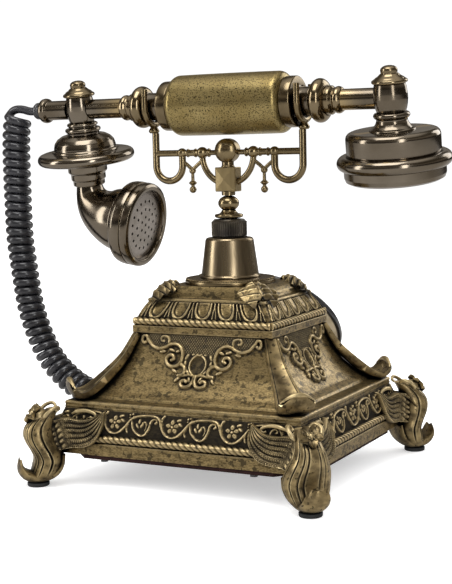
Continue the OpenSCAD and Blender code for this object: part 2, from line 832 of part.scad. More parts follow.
module ear_cap() {
    brass() at_ear() difference() {
        lathe_z([
            [0, ring_low], [ear_cap_r, ring_low], [ear_cap_r, -41.4], [27, -43.6], [24.6, -44.8], [12, -44.8],
            [9, -43.4], [0, -43.2]]);
        disc_z(capsule_bore_r, -39.4, -30);
        for (n = [1, 2]) for (k = [0:6 * n - 1]) rotate([0, 0, 60 * k / n])
            translate([3.2 * n, 0, 0]) disc_z(ear_hole_r, -50, -30);
        disc_z(ear_hole_r, -50, -30);
    }
}
module receiver() {
    color([0.3, 0.3, 0.32]) at_ear() {
        disc_z(22, -36.4, -24);
        disc_z(12, -24, -20.8);
    }
}
module mouth_neck() {
    brass() at_mouth() lathe_z([
        [0, -7.6], [8, -7.6], [9.3, -8.2], [9.3, -9.4], [8.3, -10], [8.3, -10.4], [10.2, -10.8], [10.8, -11.6],
        [10.6, -12.8], [9.6, -13.4], [9.6, -14.4], [0, -14.4]]);
}
module mouth_dome() {
    brass() at_mouth() lathe_z(concat(
        [[0, -14.4], [10.2, -14.4], [13.4, -15.2], [16.2, -16.9], [18, -19.2], [18.7, -21.8], [18.7, -23.2],
            [19.8, -23.6], [19.9, -24.6], [20.6, -24.9]],
        arc(brim_r - 3.2, -28.4, 3.2, 90, -90, 10),
        [[22, dome_low], [0, dome_low]]));
}
module mouth_steps() {
    brass() at_mouth() lathe_z([
        [0, dome_low], [14, dome_low], [14, -33], [11.9, -33.6], [11.9, -37.2], [11.2, -38], [10.5, -38.6],
        [10.5, -42], [9.6, -42.8], [9.6, -45.4], [8.6, -46], [0, -46]]);
}
module horn_elbow() {
    n = len(elbow_stations);
    m = 40;
    points = [for (s = elbow_stations) for (k = [0:m - 1]) let (a = 360 * k / m, r = s[2])
        [s[0] - r * sin(a) * sin(s[3]), r * cos(a), s[1] + r * sin(a) * cos(s[3])]];
    sides = [for (i = [0:n - 2]) for (k = [0:m - 1]) let (a = i * m, j = (k + 1) % m)
        [a + k, a + j, a + m + j, a + m + k]];
    brass() at_handset() polyhedron(points = points, faces = concat(
        [[for (k = [m - 1:-1:0]) k]], sides, [[for (k = [0:m - 1]) (n - 1) * m + k]]));
}
module horn_bell() {
    brass() at_horn() difference() {
        lathe_z([
            [0, 0], [19.4, 0], [20.3, 0.6], [20.3, 1.9], [19.9, 2.5], [21.4, 3.1], [24, 3.6], [24.7, 4.4],
            [horn_rim_r, 6.4], [horn_rim_r, 15.4], [24.8, 16.6], [23.2, 17.2], [21.2, 16.8],
            [20.8, 15.6], [0, 15.6]]);
        disc_z(18, 4, 14);
        disc_z(20.8, 13, 20);
    }
}
module mouth_grille() {
    brass() at_horn() difference() {
        lathe_z([[0, 13], [20.8, 13], [20.8, 13.8], [18, 14.4], [12, 15.2], [6, 15.6], [0, 15.8]]);
        for (n = [1:grille_rings]) for (k = [0:6 * n - 1]) rotate([0, 0, 60 * k / n])
            translate([4.8 * n, 0, 0]) disc_z(grille_hole_r, 10, 20);
        disc_z(grille_hole_r, 10, 20);
    }
}
module microphone() { color([0.3, 0.3, 0.32]) at_horn() disc_z(17, 4, 12.6); }

module cord_leads() {
    black() {
        swept(top_lead_route, wire_r);
        swept(low_lead_route, wire_r);
    }
}
module cord_coil() { black() swept(coil_route, coil_r); }
module cord_plug() {
    color([0.08, 0.08, 0.09]) {
        translate([plinth_half_x - 5, -5, socket_z - 3.4]) cube([8.4, 10, 6.8]);
        translate([plinth_half_x + 3.4, 0, socket_z]) rotate([0, 90, 0])
            cylinder(r1 = 4, r2 = 3, h = plug_x - plinth_half_x - 3.4);
    }
}

housing();
rope_mouldings();
vine_relief();
egg_frieze();
panel_relief();
corner_scrolls();
feet();
foot_pads();
base_plate();
screws();
flange_disc();
pedestal_cone();
guide_collar();
circuit_board();
ringer();
hook_switch();
switch_button();
cord_socket();
line_socket();
dial_cup();
dial_bezel();
number_plate();
finger_stop();
dial_bush();
finger_wheel();
hub_cap();
dial_spindle();
stem();
stem_clip();
stem_block();
hub_disc();
yoke();
forks();
pendants();
core_tube();
grip();
ferrules();
necks();
collar_rings();
step_collars();
arm_tubes();
posts();
finials();
tail_tube();
cord_bushing();
ear_neck();
ear_drum();
ear_ring();
ear_cap();
receiver();
mouth_neck();
mouth_dome();
mouth_steps();
horn_elbow();
horn_bell();
mouth_grille();
microphone();
cord_leads();
cord_coil();
cord_plug();
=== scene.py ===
"""Cradle telephone: looks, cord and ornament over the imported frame.

Lengths are in millimetres until a mesh is made.
"""
import math

import bpy
import numpy as np
from mathutils import Matrix, Vector


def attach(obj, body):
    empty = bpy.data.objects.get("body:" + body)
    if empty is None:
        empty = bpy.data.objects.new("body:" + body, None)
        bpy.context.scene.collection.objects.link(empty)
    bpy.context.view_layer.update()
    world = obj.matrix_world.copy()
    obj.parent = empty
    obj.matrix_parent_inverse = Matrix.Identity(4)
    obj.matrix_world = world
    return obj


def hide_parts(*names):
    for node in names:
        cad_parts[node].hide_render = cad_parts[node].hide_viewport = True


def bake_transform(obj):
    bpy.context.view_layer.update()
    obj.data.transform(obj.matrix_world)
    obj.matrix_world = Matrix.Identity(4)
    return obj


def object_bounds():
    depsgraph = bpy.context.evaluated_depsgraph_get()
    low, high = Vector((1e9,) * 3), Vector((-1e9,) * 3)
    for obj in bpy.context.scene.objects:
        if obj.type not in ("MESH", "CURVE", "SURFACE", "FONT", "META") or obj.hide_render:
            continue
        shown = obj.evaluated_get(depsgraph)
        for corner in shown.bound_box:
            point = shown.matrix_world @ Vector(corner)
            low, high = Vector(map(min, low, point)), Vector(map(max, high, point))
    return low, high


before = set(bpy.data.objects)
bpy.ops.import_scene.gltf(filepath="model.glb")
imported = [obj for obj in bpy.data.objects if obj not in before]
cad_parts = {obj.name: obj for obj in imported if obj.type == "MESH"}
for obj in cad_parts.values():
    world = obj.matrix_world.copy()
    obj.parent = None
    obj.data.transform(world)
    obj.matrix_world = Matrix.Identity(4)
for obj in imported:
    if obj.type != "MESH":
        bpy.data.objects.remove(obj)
CAD_LOW, CAD_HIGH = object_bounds()
MM = 0.001
PI = math.pi

# ---- camera
VIEW_AZIMUTH, VIEW_PITCH, VIEW_ROLL = map(math.radians, (26.96, 6.17, -1.27))
VIEW_DISTANCE, VIEW_TARGET_Z, LENS = 773.0, 103.2, 82.55


def place_camera():
    level = math.cos(VIEW_PITCH)
    back = Vector((
        -math.sin(VIEW_AZIMUTH) * level, math.cos(VIEW_AZIMUTH) * level, math.sin(VIEW_PITCH)))
    right = (-back).cross(Vector((0, 0, 1))).normalized()
    up = right.cross(-back)
    c, s = math.cos(VIEW_ROLL), math.sin(VIEW_ROLL)
    x, y = c * right + s * up, c * up - s * right
    data = bpy.data.cameras.new("camera")
    data.lens, data.shift_x, data.shift_y = LENS, -0.008, -0.001
    data.clip_start, data.clip_end = 0.01, 20
    camera = bpy.data.objects.new("camera", data)
    bpy.context.collection.objects.link(camera)
    place = (back * VIEW_DISTANCE + Vector((0, 0, VIEW_TARGET_Z))) * MM
    camera.matrix_world = Matrix(list(zip(x, y, back, place)) + [(0, 0, 0, 1)])
    bpy.context.scene.camera = camera


place_camera()

# ---- materials


def feed(tree, socket, value):
    """Give a socket a link or a plain value."""
    if isinstance(value, bpy.types.NodeSocket):
        tree.links.new(value, socket)
    else:
        socket.default_value = value


def add(tree, kind, props=None, **sockets):
    n = tree.nodes.new("ShaderNode" + kind)
    for name, value in (props or {}).items():
        setattr(n, name, value)
    for name, value in sockets.items():
        feed(tree, n.inputs[name], value)
    return n


def ramp(tree, fac, *stops):
    n = tree.nodes.new("ShaderNodeValToRGB")
    tree.links.new(fac, n.inputs[0])
    e = n.color_ramp.elements
    while len(e) < len(stops):
        e.new(0.5)
    for slot, (at, colour) in zip(e, stops):
        slot.position = at
        slot.color = (*colour, 1) if hasattr(colour, "__len__") else (colour, colour, colour, 1)
    return n.outputs[0]


def mix(tree, fac, a, b):
    n = tree.nodes.new("ShaderNodeMix")
    n.data_type = "RGBA"
    for socket, value in ((n.inputs[0], fac), (n.inputs[6], a), (n.inputs[7], b)):
        feed(tree, socket, (*value, 1) if isinstance(value, tuple) else value)
    return n.outputs[2]


def math_node(tree, op, a, b):
    n = tree.nodes.new("ShaderNodeMath")
    n.operation = op
    feed(tree, n.inputs[0], a)
    feed(tree, n.inputs[1], b)
    return n.outputs[0]


def noise(tree, scale, stretch, detail=4.0):
    coord = add(tree, "TexCoord").outputs["Object"]
    mapped = add(tree, "Mapping", Vector=coord, Scale=stretch).outputs[0]
    return add(tree, "TexNoise", Vector=mapped, Scale=scale, Detail=detail, Roughness=0.55).outputs[0]


# black for the patina in the bronze's hollows; it is also the colour of painted shade in the bronzes'
# crevices and of the painted shadow round the lambrequin's scrolls
PATINA_AND_SHADE_BLACK = (0.007, 0.006, 0.005)
MAT = {}


def surface(name, colour, dark, scale=120, stretch=(1, 1, 1), metallic=0.0, rough=(0.3, 0.5), bump=0.0,
            bump_scale=None, crevice=None, crevice_mm=3.0, edge=None, speckle=None, inked=False, **fixed):
    """Two colours over noise, with painted shade in crevices found by ambient occlusion (on the bronzes this
    also stands for their black patina), a painted highlight of lighter colour on convex edges, specks and
    uneven roughness.

    An inked surface turns to black where a mesh's ink is 1: the patina in the relief's hollows, and on the
    lambrequin also a painted shadow round the scrolls.
    """
    material = bpy.data.materials.new(name)
    material.use_nodes = True
    tree = material.node_tree
    sockets = tree.nodes["Principled BSDF"].inputs
    grain = noise(tree, scale, stretch)
    broad = noise(tree, scale * 0.22, stretch, 3)
    blend = math_node(
        tree, "ADD", math_node(tree, "MULTIPLY", grain, 0.6), math_node(tree, "MULTIPLY", broad, 0.4))
    base = ramp(tree, blend, (0.39, dark), (0.585, colour))
    if speckle:
        spots = noise(tree, speckle[0], (1, 1, 1), 2)
        base = mix(tree, ramp(tree, spots, (speckle[1], 0.0), (speckle[1] + 0.04, 1.0)), base, speckle[2])
    # painted highlight: a lighter colour on convex edges, found by pointiness
    if edge:
        point = add(tree, "NewGeometry").outputs["Pointiness"]
        base = mix(tree, ramp(tree, point, (edge[0], 0.0), (edge[1], 1.0)), base, edge[2])
    # painted shade: the colour darkens where ambient occlusion finds the surface hemmed in
    if crevice:
        hidden = add(tree, "AmbientOcclusion", {"samples": 6}, Distance=crevice_mm * MM).outputs["AO"]
        base = mix(tree, ramp(tree, hidden, (crevice[0], 1.0), (crevice[1], 0.0)), base, crevice[2])
    dull = ramp(tree, blend, (0.35, rough[1]), (0.65, rough[0]))
    sockets["Metallic"].default_value = metallic
    if inked:
        ink = add(tree, "Attribute", {"attribute_name": "ink"}).outputs["Fac"]
        base = mix(tree, ink, base, PATINA_AND_SHADE_BLACK)
        dull = mix(tree, ink, dull, (0.85, 0.85, 0.85))
        tree.links.new(ramp(tree, ink, (0.0, metallic), (1.0, 0.0)), sockets["Metallic"])
        tree.links.new(ramp(tree, ink, (0.0, 0.5), (1.0, 0.02)), sockets["Specular IOR Level"])
    tree.links.new(base, sockets["Base Color"])
    tree.links.new(dull, sockets["Roughness"])
    if bump:
        height = noise(tree, bump_scale or scale, stretch, 5)
        n = add(tree, "Bump", Strength=0.6, Distance=bump * MM, Height=height)
        tree.links.new(n.outputs[0], sockets["Normal"])
    for socket, value in fixed.items():
        sockets[socket.replace("_", " ")].default_value = value
    MAT[name] = material
    return material


# The crevice colours below are painted shade (on the two bronzes also their black patina), and the edge
# colours are painted highlights.
surface("cast_bronze", (0.355, 0.26, 0.115), (0.10, 0.072, 0.033), 950, (0.8, 0.8, 2.4), 0.9, (0.26, 0.44),
        0.07, 500, (0.50, 0.92, PATINA_AND_SHADE_BLACK), 3.2, (0.51, 0.58, (0.86, 0.68, 0.38)),
        (330, 0.575, (0.085, 0.064, 0.032)), True)
surface("foot_bronze", (0.37, 0.275, 0.13), (0.085, 0.060, 0.028), 110, (1, 1, 1.6), 0.8, (0.26, 0.42),
        0.05, 300, (0.48, 0.90, PATINA_AND_SHADE_BLACK), 4.0, (0.51, 0.59, (0.88, 0.70, 0.38)),
        (420, 0.60, (0.07, 0.052, 0.026)), True)
surface("grip_bronze", (0.40, 0.31, 0.13), (0.29, 0.215, 0.08), 60, (1, 1, 1), 0.9, (0.25, 0.34), 0.02, 500,
        speckle=(1500, 0.553, (0.05, 0.038, 0.018)))
surface("antique_brass", (0.30, 0.23, 0.125), (0.18, 0.135, 0.072), 70, (1, 1, 1), 1.0, (0.20, 0.30),
        crevice=(0.25, 0.8, (0.03, 0.024, 0.017)), crevice_mm=2.4)
HANDSET_METAL = (0.235, 0.20, 0.155), (0.155, 0.125, 0.088), 30, (1, 1, 1), 1.0
# painted shade: the colour towards which ambient occlusion darkens the handset's seams and hollows
SEAM_SHADE = (0.2, 0.8, (0.03, 0.024, 0.02))
surface("handset_brass", *HANDSET_METAL, (0.12, 0.20), crevice=SEAM_SHADE, crevice_mm=2.4,
        edge=(0.52, 0.60, (0.62, 0.46, 0.22)))
surface("ring_brass", (0.27, 0.21, 0.125), (0.165, 0.125, 0.07), 40, (1, 1, 1), 1.0, (0.14, 0.22),
        crevice=SEAM_SHADE, crevice_mm=2.4)
surface("cap_metal", *HANDSET_METAL, (0.14, 0.22))
surface("brushed_brass", (0.40, 0.315, 0.195), (0.15, 0.115, 0.07), 160, (1, 1, 0.03), 1.0, (0.22, 0.36),
        0.02, 420, (0.2, 0.7, (0.04, 0.03, 0.02)), 2.0)
surface("black_plastic", (0.022, 0.021, 0.022), (0.012, 0.012, 0.013), 90, rough=(0.18, 0.3), Coat_Weight=0.3)
surface("collar_black", (0.09, 0.075, 0.055), (0.03, 0.026, 0.022), 90, metallic=0.85, rough=(0.25, 0.4),
        crevice=(0.3, 0.9, (0.006, 0.006, 0.006)), crevice_mm=1.2)
surface("cord_jacket", (0.018, 0.018, 0.021), (0.010, 0.010, 0.012), 80, rough=(0.22, 0.34), Coat_Weight=0.25)
surface("plug_plastic", (0.03, 0.03, 0.034), (0.02, 0.02, 0.022), 80, rough=(0.3, 0.4))
surface("pad_rubber", (0.016, 0.016, 0.017), (0.009, 0.009, 0.009), 300, rough=(0.6, 0.8), bump=0.05)
surface("base_sheet", (0.022, 0.008, 0.007), (0.012, 0.005, 0.004), 200, rough=(0.6, 0.8), bump=0.03,
        Specular_IOR_Level=0.1)
surface("steel", (0.55, 0.55, 0.57), (0.4, 0.4, 0.42), 90, (1, 1, 8), 1.0, (0.25, 0.4))
surface("board", (0.03, 0.12, 0.05), (0.02, 0.07, 0.03), 300, rough=(0.35, 0.5))
surface("button_plastic", (0.5, 0.06, 0.04), (0.35, 0.04, 0.03), 200, rough=(0.35, 0.5))
surface("cup_plastic", (0.47, 0.39, 0.26), (0.33, 0.26, 0.16), 30, (1, 1, 6), 0.3, (0.38, 0.55), 0.03, 200,
        crevice=(0.3, 0.8, (0.1, 0.08, 0.05)))
surface("number_card", (0.80, 0.76, 0.64), (0.72, 0.67, 0.54), 60, rough=(0.35, 0.45))
surface("capsule", (0.2, 0.2, 0.21), (0.14, 0.14, 0.15), 150, metallic=0.8, rough=(0.3, 0.45))
surface("brushed_gold", (0.36, 0.275, 0.14), (0.25, 0.19, 0.095), 200, (1, 1, 0.1), 1.0, (0.34, 0.44),
        0.02, 400, (0.3, 0.8, (0.06, 0.045, 0.03)), 1.6)
surface("grille_metal", (0.40, 0.36, 0.32), (0.28, 0.25, 0.21), 80, metallic=1.0, rough=(0.3, 0.42))
surface("digit_ink", (0.02, 0.02, 0.02), (0.01, 0.01, 0.01), 90, rough=(0.4, 0.5))

# ---- mesh tools


def shift(x=0, y=0, z=0):
    return np.array(Matrix.Translation((x, y, z)))


def turn(degrees, axis):
    return np.array(Matrix.Rotation(math.radians(degrees), 4, axis))


def flip(x=1, y=1):
    return np.diag((x, y, 1, 1)).astype(float)


def smooth_line(points, per=6):
    """Catmull-Rom through given points of any dimension."""
    p = np.array(points, float)
    n = len(p)
    out = []
    for i in range(n - 1):
        a, b, c, d = (p[min(max(i + k, 0), n - 1)] for k in (-1, 0, 1, 2))
        for t in np.arange(per) / per:
            out.append(0.5 * (
                2 * b + (c - a) * t + (2 * a - 5 * b + 4 * c - d) * t * t
                + (3 * b - a - 3 * c + d) * t ** 3))
    out.append(p[-1])
    return np.array(out)


ROUND_STEPS = 3


def rounded(points, radius=0.35):
    """A polyline with its inner corners rounded off."""
    p = np.array(points, float)
    out = [p[0]]
    for a, b, c in zip(p, p[1:], p[2:]):
        la, lc = np.linalg.norm(a - b), np.linalg.norm(c - b)
        if la < 1e-6 or lc < 1e-6:
            continue
        s = b + (a - b) / la * min(radius, 0.45 * la)
        e = b + (c - b) / lc * min(radius, 0.45 * lc)
        for t in np.linspace(0, 1, ROUND_STEPS + 1):
            out.append((1 - t) ** 2 * s + 2 * t * (1 - t) * b + t * t * e)
    out.append(p[-1])
    return np.array(out)


def cosd(degrees):
    return math.cos(math.radians(degrees))


def sind(degrees):
    return math.sin(math.radians(degrees))


def on_circle(cx, cy, r, a0, a1, step=8):
    """Points on a circle, from one angle to another in degrees."""
    return [(cx + r * cosd(a), cy + r * sind(a)) for a in range(a0, a1, step)]


def run_length(points):
    """The distance along a polyline at each of its points."""
    return np.concatenate([[0], np.cumsum(np.linalg.norm(np.diff(points, axis=0), axis=1))])


def headings(points):
    """A polyline's direction at each of its points."""
    t = np.gradient(points, axis=0)
    return t / np.linalg.norm(t, axis=1)[:, None]


def even_angles(count):
    return np.linspace(0, 2 * PI, count, endpoint=False)


def unit(x):
    """x held between 0 and 1."""
    return np.clip(x, 0, 1)


class Build:
    """Gathers grids, lathed shapes and tubes into one mesh."""

    def __init__(self):
        self.points, self.faces, self.inks, self.count = [], [], [], 0

    def add(self, points, faces, at=None, ink=0.0):
        points = np.asarray(points, float).reshape(-1, 3)
        faces = np.asarray(faces)
        if at is not None:
            points = points @ at[:3, :3].T + at[:3, 3]
            if np.linalg.det(at[:3, :3]) < 0:
                faces = faces[:, ::-1]
        self.points.append(points)
        self.inks.append(np.broadcast_to(np.ravel(ink), (len(points),)))
        self.faces += (faces + self.count).tolist()
        self.count += len(points)
        return self

    def grid(self, p, around=False, at=None, ink=0.0):
        rows, cols = p.shape[:2]
        i = np.arange(rows * cols).reshape(rows, cols)
        if around:
            i = np.concatenate([i, i[:, :1]], 1)
        quads = np.stack([i[:-1, :-1], i[:-1, 1:], i[1:, 1:], i[1:, :-1]], -1).reshape(-1, 4)
        return self.add(p, quads, at, ink)

    def ring_cap(self, ring, reverse=False, at=None):
        n = len(ring)
        points = np.concatenate([ring, ring.mean(0)[None]])
        tri = np.array([[i, (i + 1) % n, n] for i in range(n)])
        return self.add(points, tri[:, ::-1] if reverse else tri, at)

    def closed_skin(self, g, at=None, ink=0.0):
        """A grid that closes round, with a cap on its first and on its last row."""
        return self.grid(g, True, at, ink).ring_cap(g[0], True, at).ring_cap(g[-1], False, at)

    def lathe(self, profile, at=None, sides=96, shape=None):
        """profile is (radius, height), upwards on the outside. shape(angle, height) scales the radius."""
        p = np.array(profile, float)
        a = even_angles(sides)
        r = p[:, :1] * np.ones(sides)
        if shape is not None:
            r = r * shape(a[None, :], p[:, 1:2])
        g = np.stack([r * np.cos(a), r * np.sin(a), p[:, 1:2] * np.ones(sides)], -1)
        return self.grid(g, around=True, at=at)

    def tube(self, path, radius, sides=20, at=None, shape=None, ink=None):
        """A round bar along a path. shape(angle, place) scales it and ink(angle, place) darkens it."""
        p = np.array(path, float)
        n = len(p)
        radius = np.broadcast_to(np.asarray(radius, float), (n,))
        t = headings(p)
        u = np.zeros_like(p)
        ref = np.array([0, 1.0, 0]) if abs(t[0][1]) < 0.9 else np.array([0, 0, 1.0])
        for k in range(n):
            ref = ref - t[k] * (ref @ t[k])
            ref /= np.linalg.norm(ref)
            u[k] = ref
        v = np.cross(t, u)
        a = even_angles(sides)
        place = np.arange(n)[:, None] / (n - 1)
        r = radius[:, None] * np.ones(sides)
        if shape is not None:
            r = r * shape(a[None, :], place)
        across = np.cos(a)[None, :, None] * u[:, None] + np.sin(a)[None, :, None] * v[:, None]
        g = p[:, None] + r[..., None] * across
        dark = 0.0 if ink is None else ink(a[None, :], place)
        return self.closed_skin(g, at, dark)

    def ball(self, centre, radius, at=None, rows=10, sides=16):
        lat = np.linspace(-PI / 2 + 0.02, PI / 2 - 0.02, rows)[:, None]
        a = even_angles(sides)[None]
        g = np.stack([np.cos(lat) * np.cos(a), np.cos(lat) * np.sin(a), np.sin(lat) * np.ones_like(a)], -1)
        return self.closed_skin(g * radius + np.array(centre), at)

    def make(self, name, material, body, replaces=(), sharp=38):
        mesh = bpy.data.meshes.new(name)
        mesh.from_pydata((np.concatenate(self.points) * MM).tolist(), [], self.faces)
        mesh.update()
        mesh.polygons.foreach_set("use_smooth", [True] * len(mesh.polygons))
        mesh.set_sharp_from_angle(angle=math.radians(sharp))
        mesh.materials.append(MAT[material])
        inks = np.concatenate(self.inks).astype(np.float32)
        if inks.any():
            mesh.attributes.new("ink", "FLOAT", "POINT").data.foreach_set("value", inks)
        piece = bpy.data.objects.new(name, mesh)
        bpy.context.collection.objects.link(piece)
        if body:
            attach(piece, body)
        if replaces:
            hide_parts(*replaces)
        return piece


def turned(name, profile, at, material, body, replaces=(), radius=0.35, sides=96):
    Build().lathe(rounded(profile, radius), at, sides).make(name, material, body, replaces)


BOTH = (1, -1)
# the four corners, as mirrors of the one at +x +y
CORNERS = [flip(sx, sy) for sx in BOTH for sy in BOTH]

# ---- handset cord
# the coil's middle line and the straight leads at its ends, in metres, as in the part
COIL_ROUTE = [
    (0.1446, 0, 0.207), (0.1456, 0, 0.202), (0.1464, 0, 0.195), (0.1469, 0, 0.184), (0.147, 0, 0.171),
    (0.147, 0, 0.158), (0.1469, 0, 0.145), (0.1464, 0, 0.131), (0.1446, 0, 0.117), (0.1428, 0, 0.104),
    (0.1404, 0, 0.090), (0.1366, 0, 0.078), (0.1312, 0, 0.066), (0.124, 0, 0.055), (0.1146, 0, 0.0465),
    (0.1048, 0, 0.0404), (0.095, 0, 0.0372)]
TOP_LEAD = [
    (0.1308, 0, 0.2104), (0.1346, 0, 0.2104), (0.137, 0, 0.2108), (0.140, 0, 0.2116), (0.1432, 0, 0.212),
    (0.146, 0, 0.2118), (0.1484, 0, 0.2109), (0.15002, 0, 0.20949), (0.15029, 0, 0.20814)]
LOW_LEAD = [(0.09255, 0, 0.0364), (0.091, 0, 0.036), (0.089, 0, 0.036)]
WIRE_R, COIL_RADIUS, COIL_PITCH, TURN_POINTS = 2.5, 6.15, 5.25, 30


def curly_path():
    """The wire's centreline: out along one lead, round the coil's middle line, and in along the other."""
    middle = smooth_line(np.array(COIL_ROUTE) / MM, 10)
    s = run_length(middle)
    turns = int(s[-1] / COIL_PITCH)
    n = turns * TURN_POINTS
    u = np.linspace(0, 1, n)
    along = np.stack([np.interp(u * s[-1], s, middle[:, k]) for k in range(3)], 1)
    forward = headings(along)
    side = np.array([0.0, 1.0, 0.0])
    outward = np.cross(forward, side)
    a = PI / 2 - 2 * PI * turns * u
    swell = COIL_RADIUS * unit((1 - u) * turns / 0.8) ** 0.8
    coil = along + swell[:, None] * (np.cos(a)[:, None] * side + np.sin(a)[:, None] * outward)
    lead = smooth_line(np.array(TOP_LEAD[:-1]) / MM, 5)
    return np.concatenate([lead, coil[4:], np.array(LOW_LEAD) / MM])


wire = curly_path()
cord = Build().tube(wire, WIRE_R, 14).make("cord_curly", "cord_jacket", None, ["cord_coil", "cord_leads"])
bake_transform(cord)

# ---- base casting
# half width, half depth and height of the casting, from the underside to the top
RINGS = [
    (78, 71.5, 18), (78, 71.5, 24.6), (76.4, 69.9, 25.2), (76.2, 69.7, 29.6), (75.9, 69.4, 33),
    (74.8, 68.3, 37), (72.6, 66.3, 42.4), (72, 65.75, 42.8), (72.4, 66.15, 43.2), (72.4, 66.15, 44.2),
    (71.9, 65.65, 44.6), (72.4, 66.15, 45), (72.4, 66.15, 46.2), (71.4, 65.15, 47), (64.4, 58.3, 47.2),
    (63.6, 57.5, 48.4), (59.3, 53.3, 50.9), (55.1, 49, 54.7), (50.8, 44.8, 60), (46.5, 40.6, 68),
    (43.3, 37.4, 76), (41.9, 36, 82.3), (43.7, 37.8, 82.6), (43.7, 37.8, 86.8), (42, 36.1, 87.2),
    (41.8, 35.9, 90.8), (39.8, 34.2, 95), (36.2, 31.2, 100), (37, 32, 100.6), (36.4, 31.4, 101.9),
    (33.9, 29, 102.3), (32.9, 28.5, 105), (30.2, 27.4, 107.4), (26.8, 26.6, 108.6)]
ROW_STEP, FACE_COLUMNS = 0.44, 340
# heights between which the vine, the panels and the eggs are cut
VINE_LOW, VINE_HIGH, PANEL_LOW, PANEL_TOP, EGG_LOW, EGG_TOP = 29.6, 42.5, 47.5, 82.3, 90.6, 100.3
# rows of RINGS that the panels and the eggs start from, and the width that the lambrequin is drawn for
PANEL_ROW, EGG_ROW, LAMBREQUIN_HALF = 21, 25, 43.7
DIAL_TILT, DIAL_CENTRE = 43.0, (0.0, -58.0, 79.0)


def section_rows():
    """The casting's section, resampled evenly and eased: half width, half depth, height, arc length."""
    p = np.array(RINGS, float)
    s = run_length(p[:, 1:])
    at = np.linspace(0, s[-1], int(s[-1] / ROW_STEP))
    q = np.stack([np.interp(at, s, p[:, k]) for k in range(3)], 1)
    eased = q.copy()
    eased[1:-1] = 0.25 * q[:-2] + 0.5 * q[1:-1] + 0.25 * q[2:]
    return np.concatenate([eased, at[:, None]], 1)


def line_distance(x, y, line):
    """The distance of each point from a polyline."""
    best = np.full(x.shape, 1e9)
    for (ax, ay), (bx, by) in zip(line[:-1], line[1:]):
        dx, dy = bx - ax, by - ay
        t = unit(((x - ax) * dx + (y - ay) * dy) / (dx * dx + dy * dy + 1e-9))
        best = np.minimum(best, np.hypot(x - ax - t * dx, y - ay - t * dy))
    return best


def ridge(distance, half, height):
    """The height of a round bar lying along a line."""
    return height * np.sqrt(unit(1 - (distance / half) ** 2))


def dome(x, y, cx, cy, rx, ry, height, angle=0.0):
    c, s = cosd(angle), sind(angle)
    u, v = (x - cx) * c + (y - cy) * s, (y - cy) * c - (x - cx) * s
    return height * np.sqrt(unit(1 - (u / rx) ** 2 - (v / ry) ** 2))


def inside(x, y, polygon):
    hit = np.zeros(x.shape, bool)
    for (ax, ay), (bx, by) in zip(polygon, np.roll(polygon, -1, 0)):
        crosses = (ay > y) != (by > y)
        hit ^= crosses & (x < (bx - ax) * (y - ay) / (by - ay + 1e-12) + ax)
    return hit


VINE_PERIOD = 36.0
VINE_WAVE = [
    (1.8, 4.4), (4.1, 2.3), (6.8, 1.7), (10, 2.7), (13.2, 5.5), (15.5, 8.4), (17.6, 10.8), (20.5, 12.3),
    (24, 13), (29, 13.3), (33, 12.6), (35, 10.6), (36, 8), (36.8, 6), (37.8, 4.4)]
VINE_LEAF = [(1.6, 13.8), (0.3, 12), (0.3, 9), (1.0, 6.5)]
VINE_BOWL = [
    (17.7, 9.6), (18.2, 6.3), (20, 3.6), (22.7, 1.6), (25.5, 1.8), (27.7, 4.3), (28.9, 7.3), (29.5, 10),
    (31.1, 11.4), (32.7, 11.2), (33.2, 9.9), (32.2, 9.2)]
VINE_SPUR = [(15.6, 7.6), (14.4, 5.2), (15, 3)]
VINE_TENDRIL = [(26.2, 4.6), (27, 7.2), (26, 9.4), (24.4, 9)]
# each stem's line, half width and height
VINE_STEMS = (
    (VINE_WAVE, 0.8, 1.35), (VINE_LEAF, 0.65, 1.1), (VINE_BOWL, 0.7, 1.2), (VINE_SPUR, 0.55, 0.9),
    (VINE_TENDRIL, 0.5, 0.8))
# centre and heading of each small leaf
VINE_LEAVES = ((21.2, 7.2, -58), (24, 7.4, 58), (22.4, 9.6, 90), (10.6, 12, 20), (11.6, 9.6, -35))
FLOWER_X, FLOWER_Y, BUD_X, BUD_Y = 7, 7.9, 17.2, 12.2


def vine_height(a, z):
    """The frieze of vine stems, leaves, a flower and a bud, repeated along the side."""
    x, y = np.mod(a + 9, VINE_PERIOD), (z - VINE_LOW) / 0.9
    h = np.zeros(x.shape)
    for off in (-VINE_PERIOD, 0, VINE_PERIOD):
        u = x - off
        for line, half, tall in VINE_STEMS:
            h = np.maximum(h, ridge(line_distance(u, y, smooth_line(line, 4)), half, tall))
        for k in range(5):
            heading = 72 * k + 20
            px, py = FLOWER_X + 2.5 * cosd(heading), FLOWER_Y + 2.5 * sind(heading)
            vein = 0.35 * np.exp(-((u - px) ** 2 + (y - py) ** 2) / 0.3)
            h = np.maximum(h, dome(u, y, px, py, 1.75, 1.25, 1.3, heading) - vein)
        h = np.maximum(h, dome(u, y, FLOWER_X, FLOWER_Y, 1.0, 1.0, 1.5))
        for cx, cy, angle in VINE_LEAVES:
            h = np.maximum(h, dome(u, y, cx, cy, 1.7, 0.85, 1.1, angle))
        for k in range(5):
            cx, cy = BUD_X + 1.3 * math.cos(k * 1.25), BUD_Y + 1.3 * math.sin(k * 1.25)
            h = np.maximum(h, dome(u, y, cx, cy, 0.75, 0.75, 1.2))
    fade = unit((y - 0.4) / 0.5) * unit((14.3 - y) / 0.5)
    return h * fade


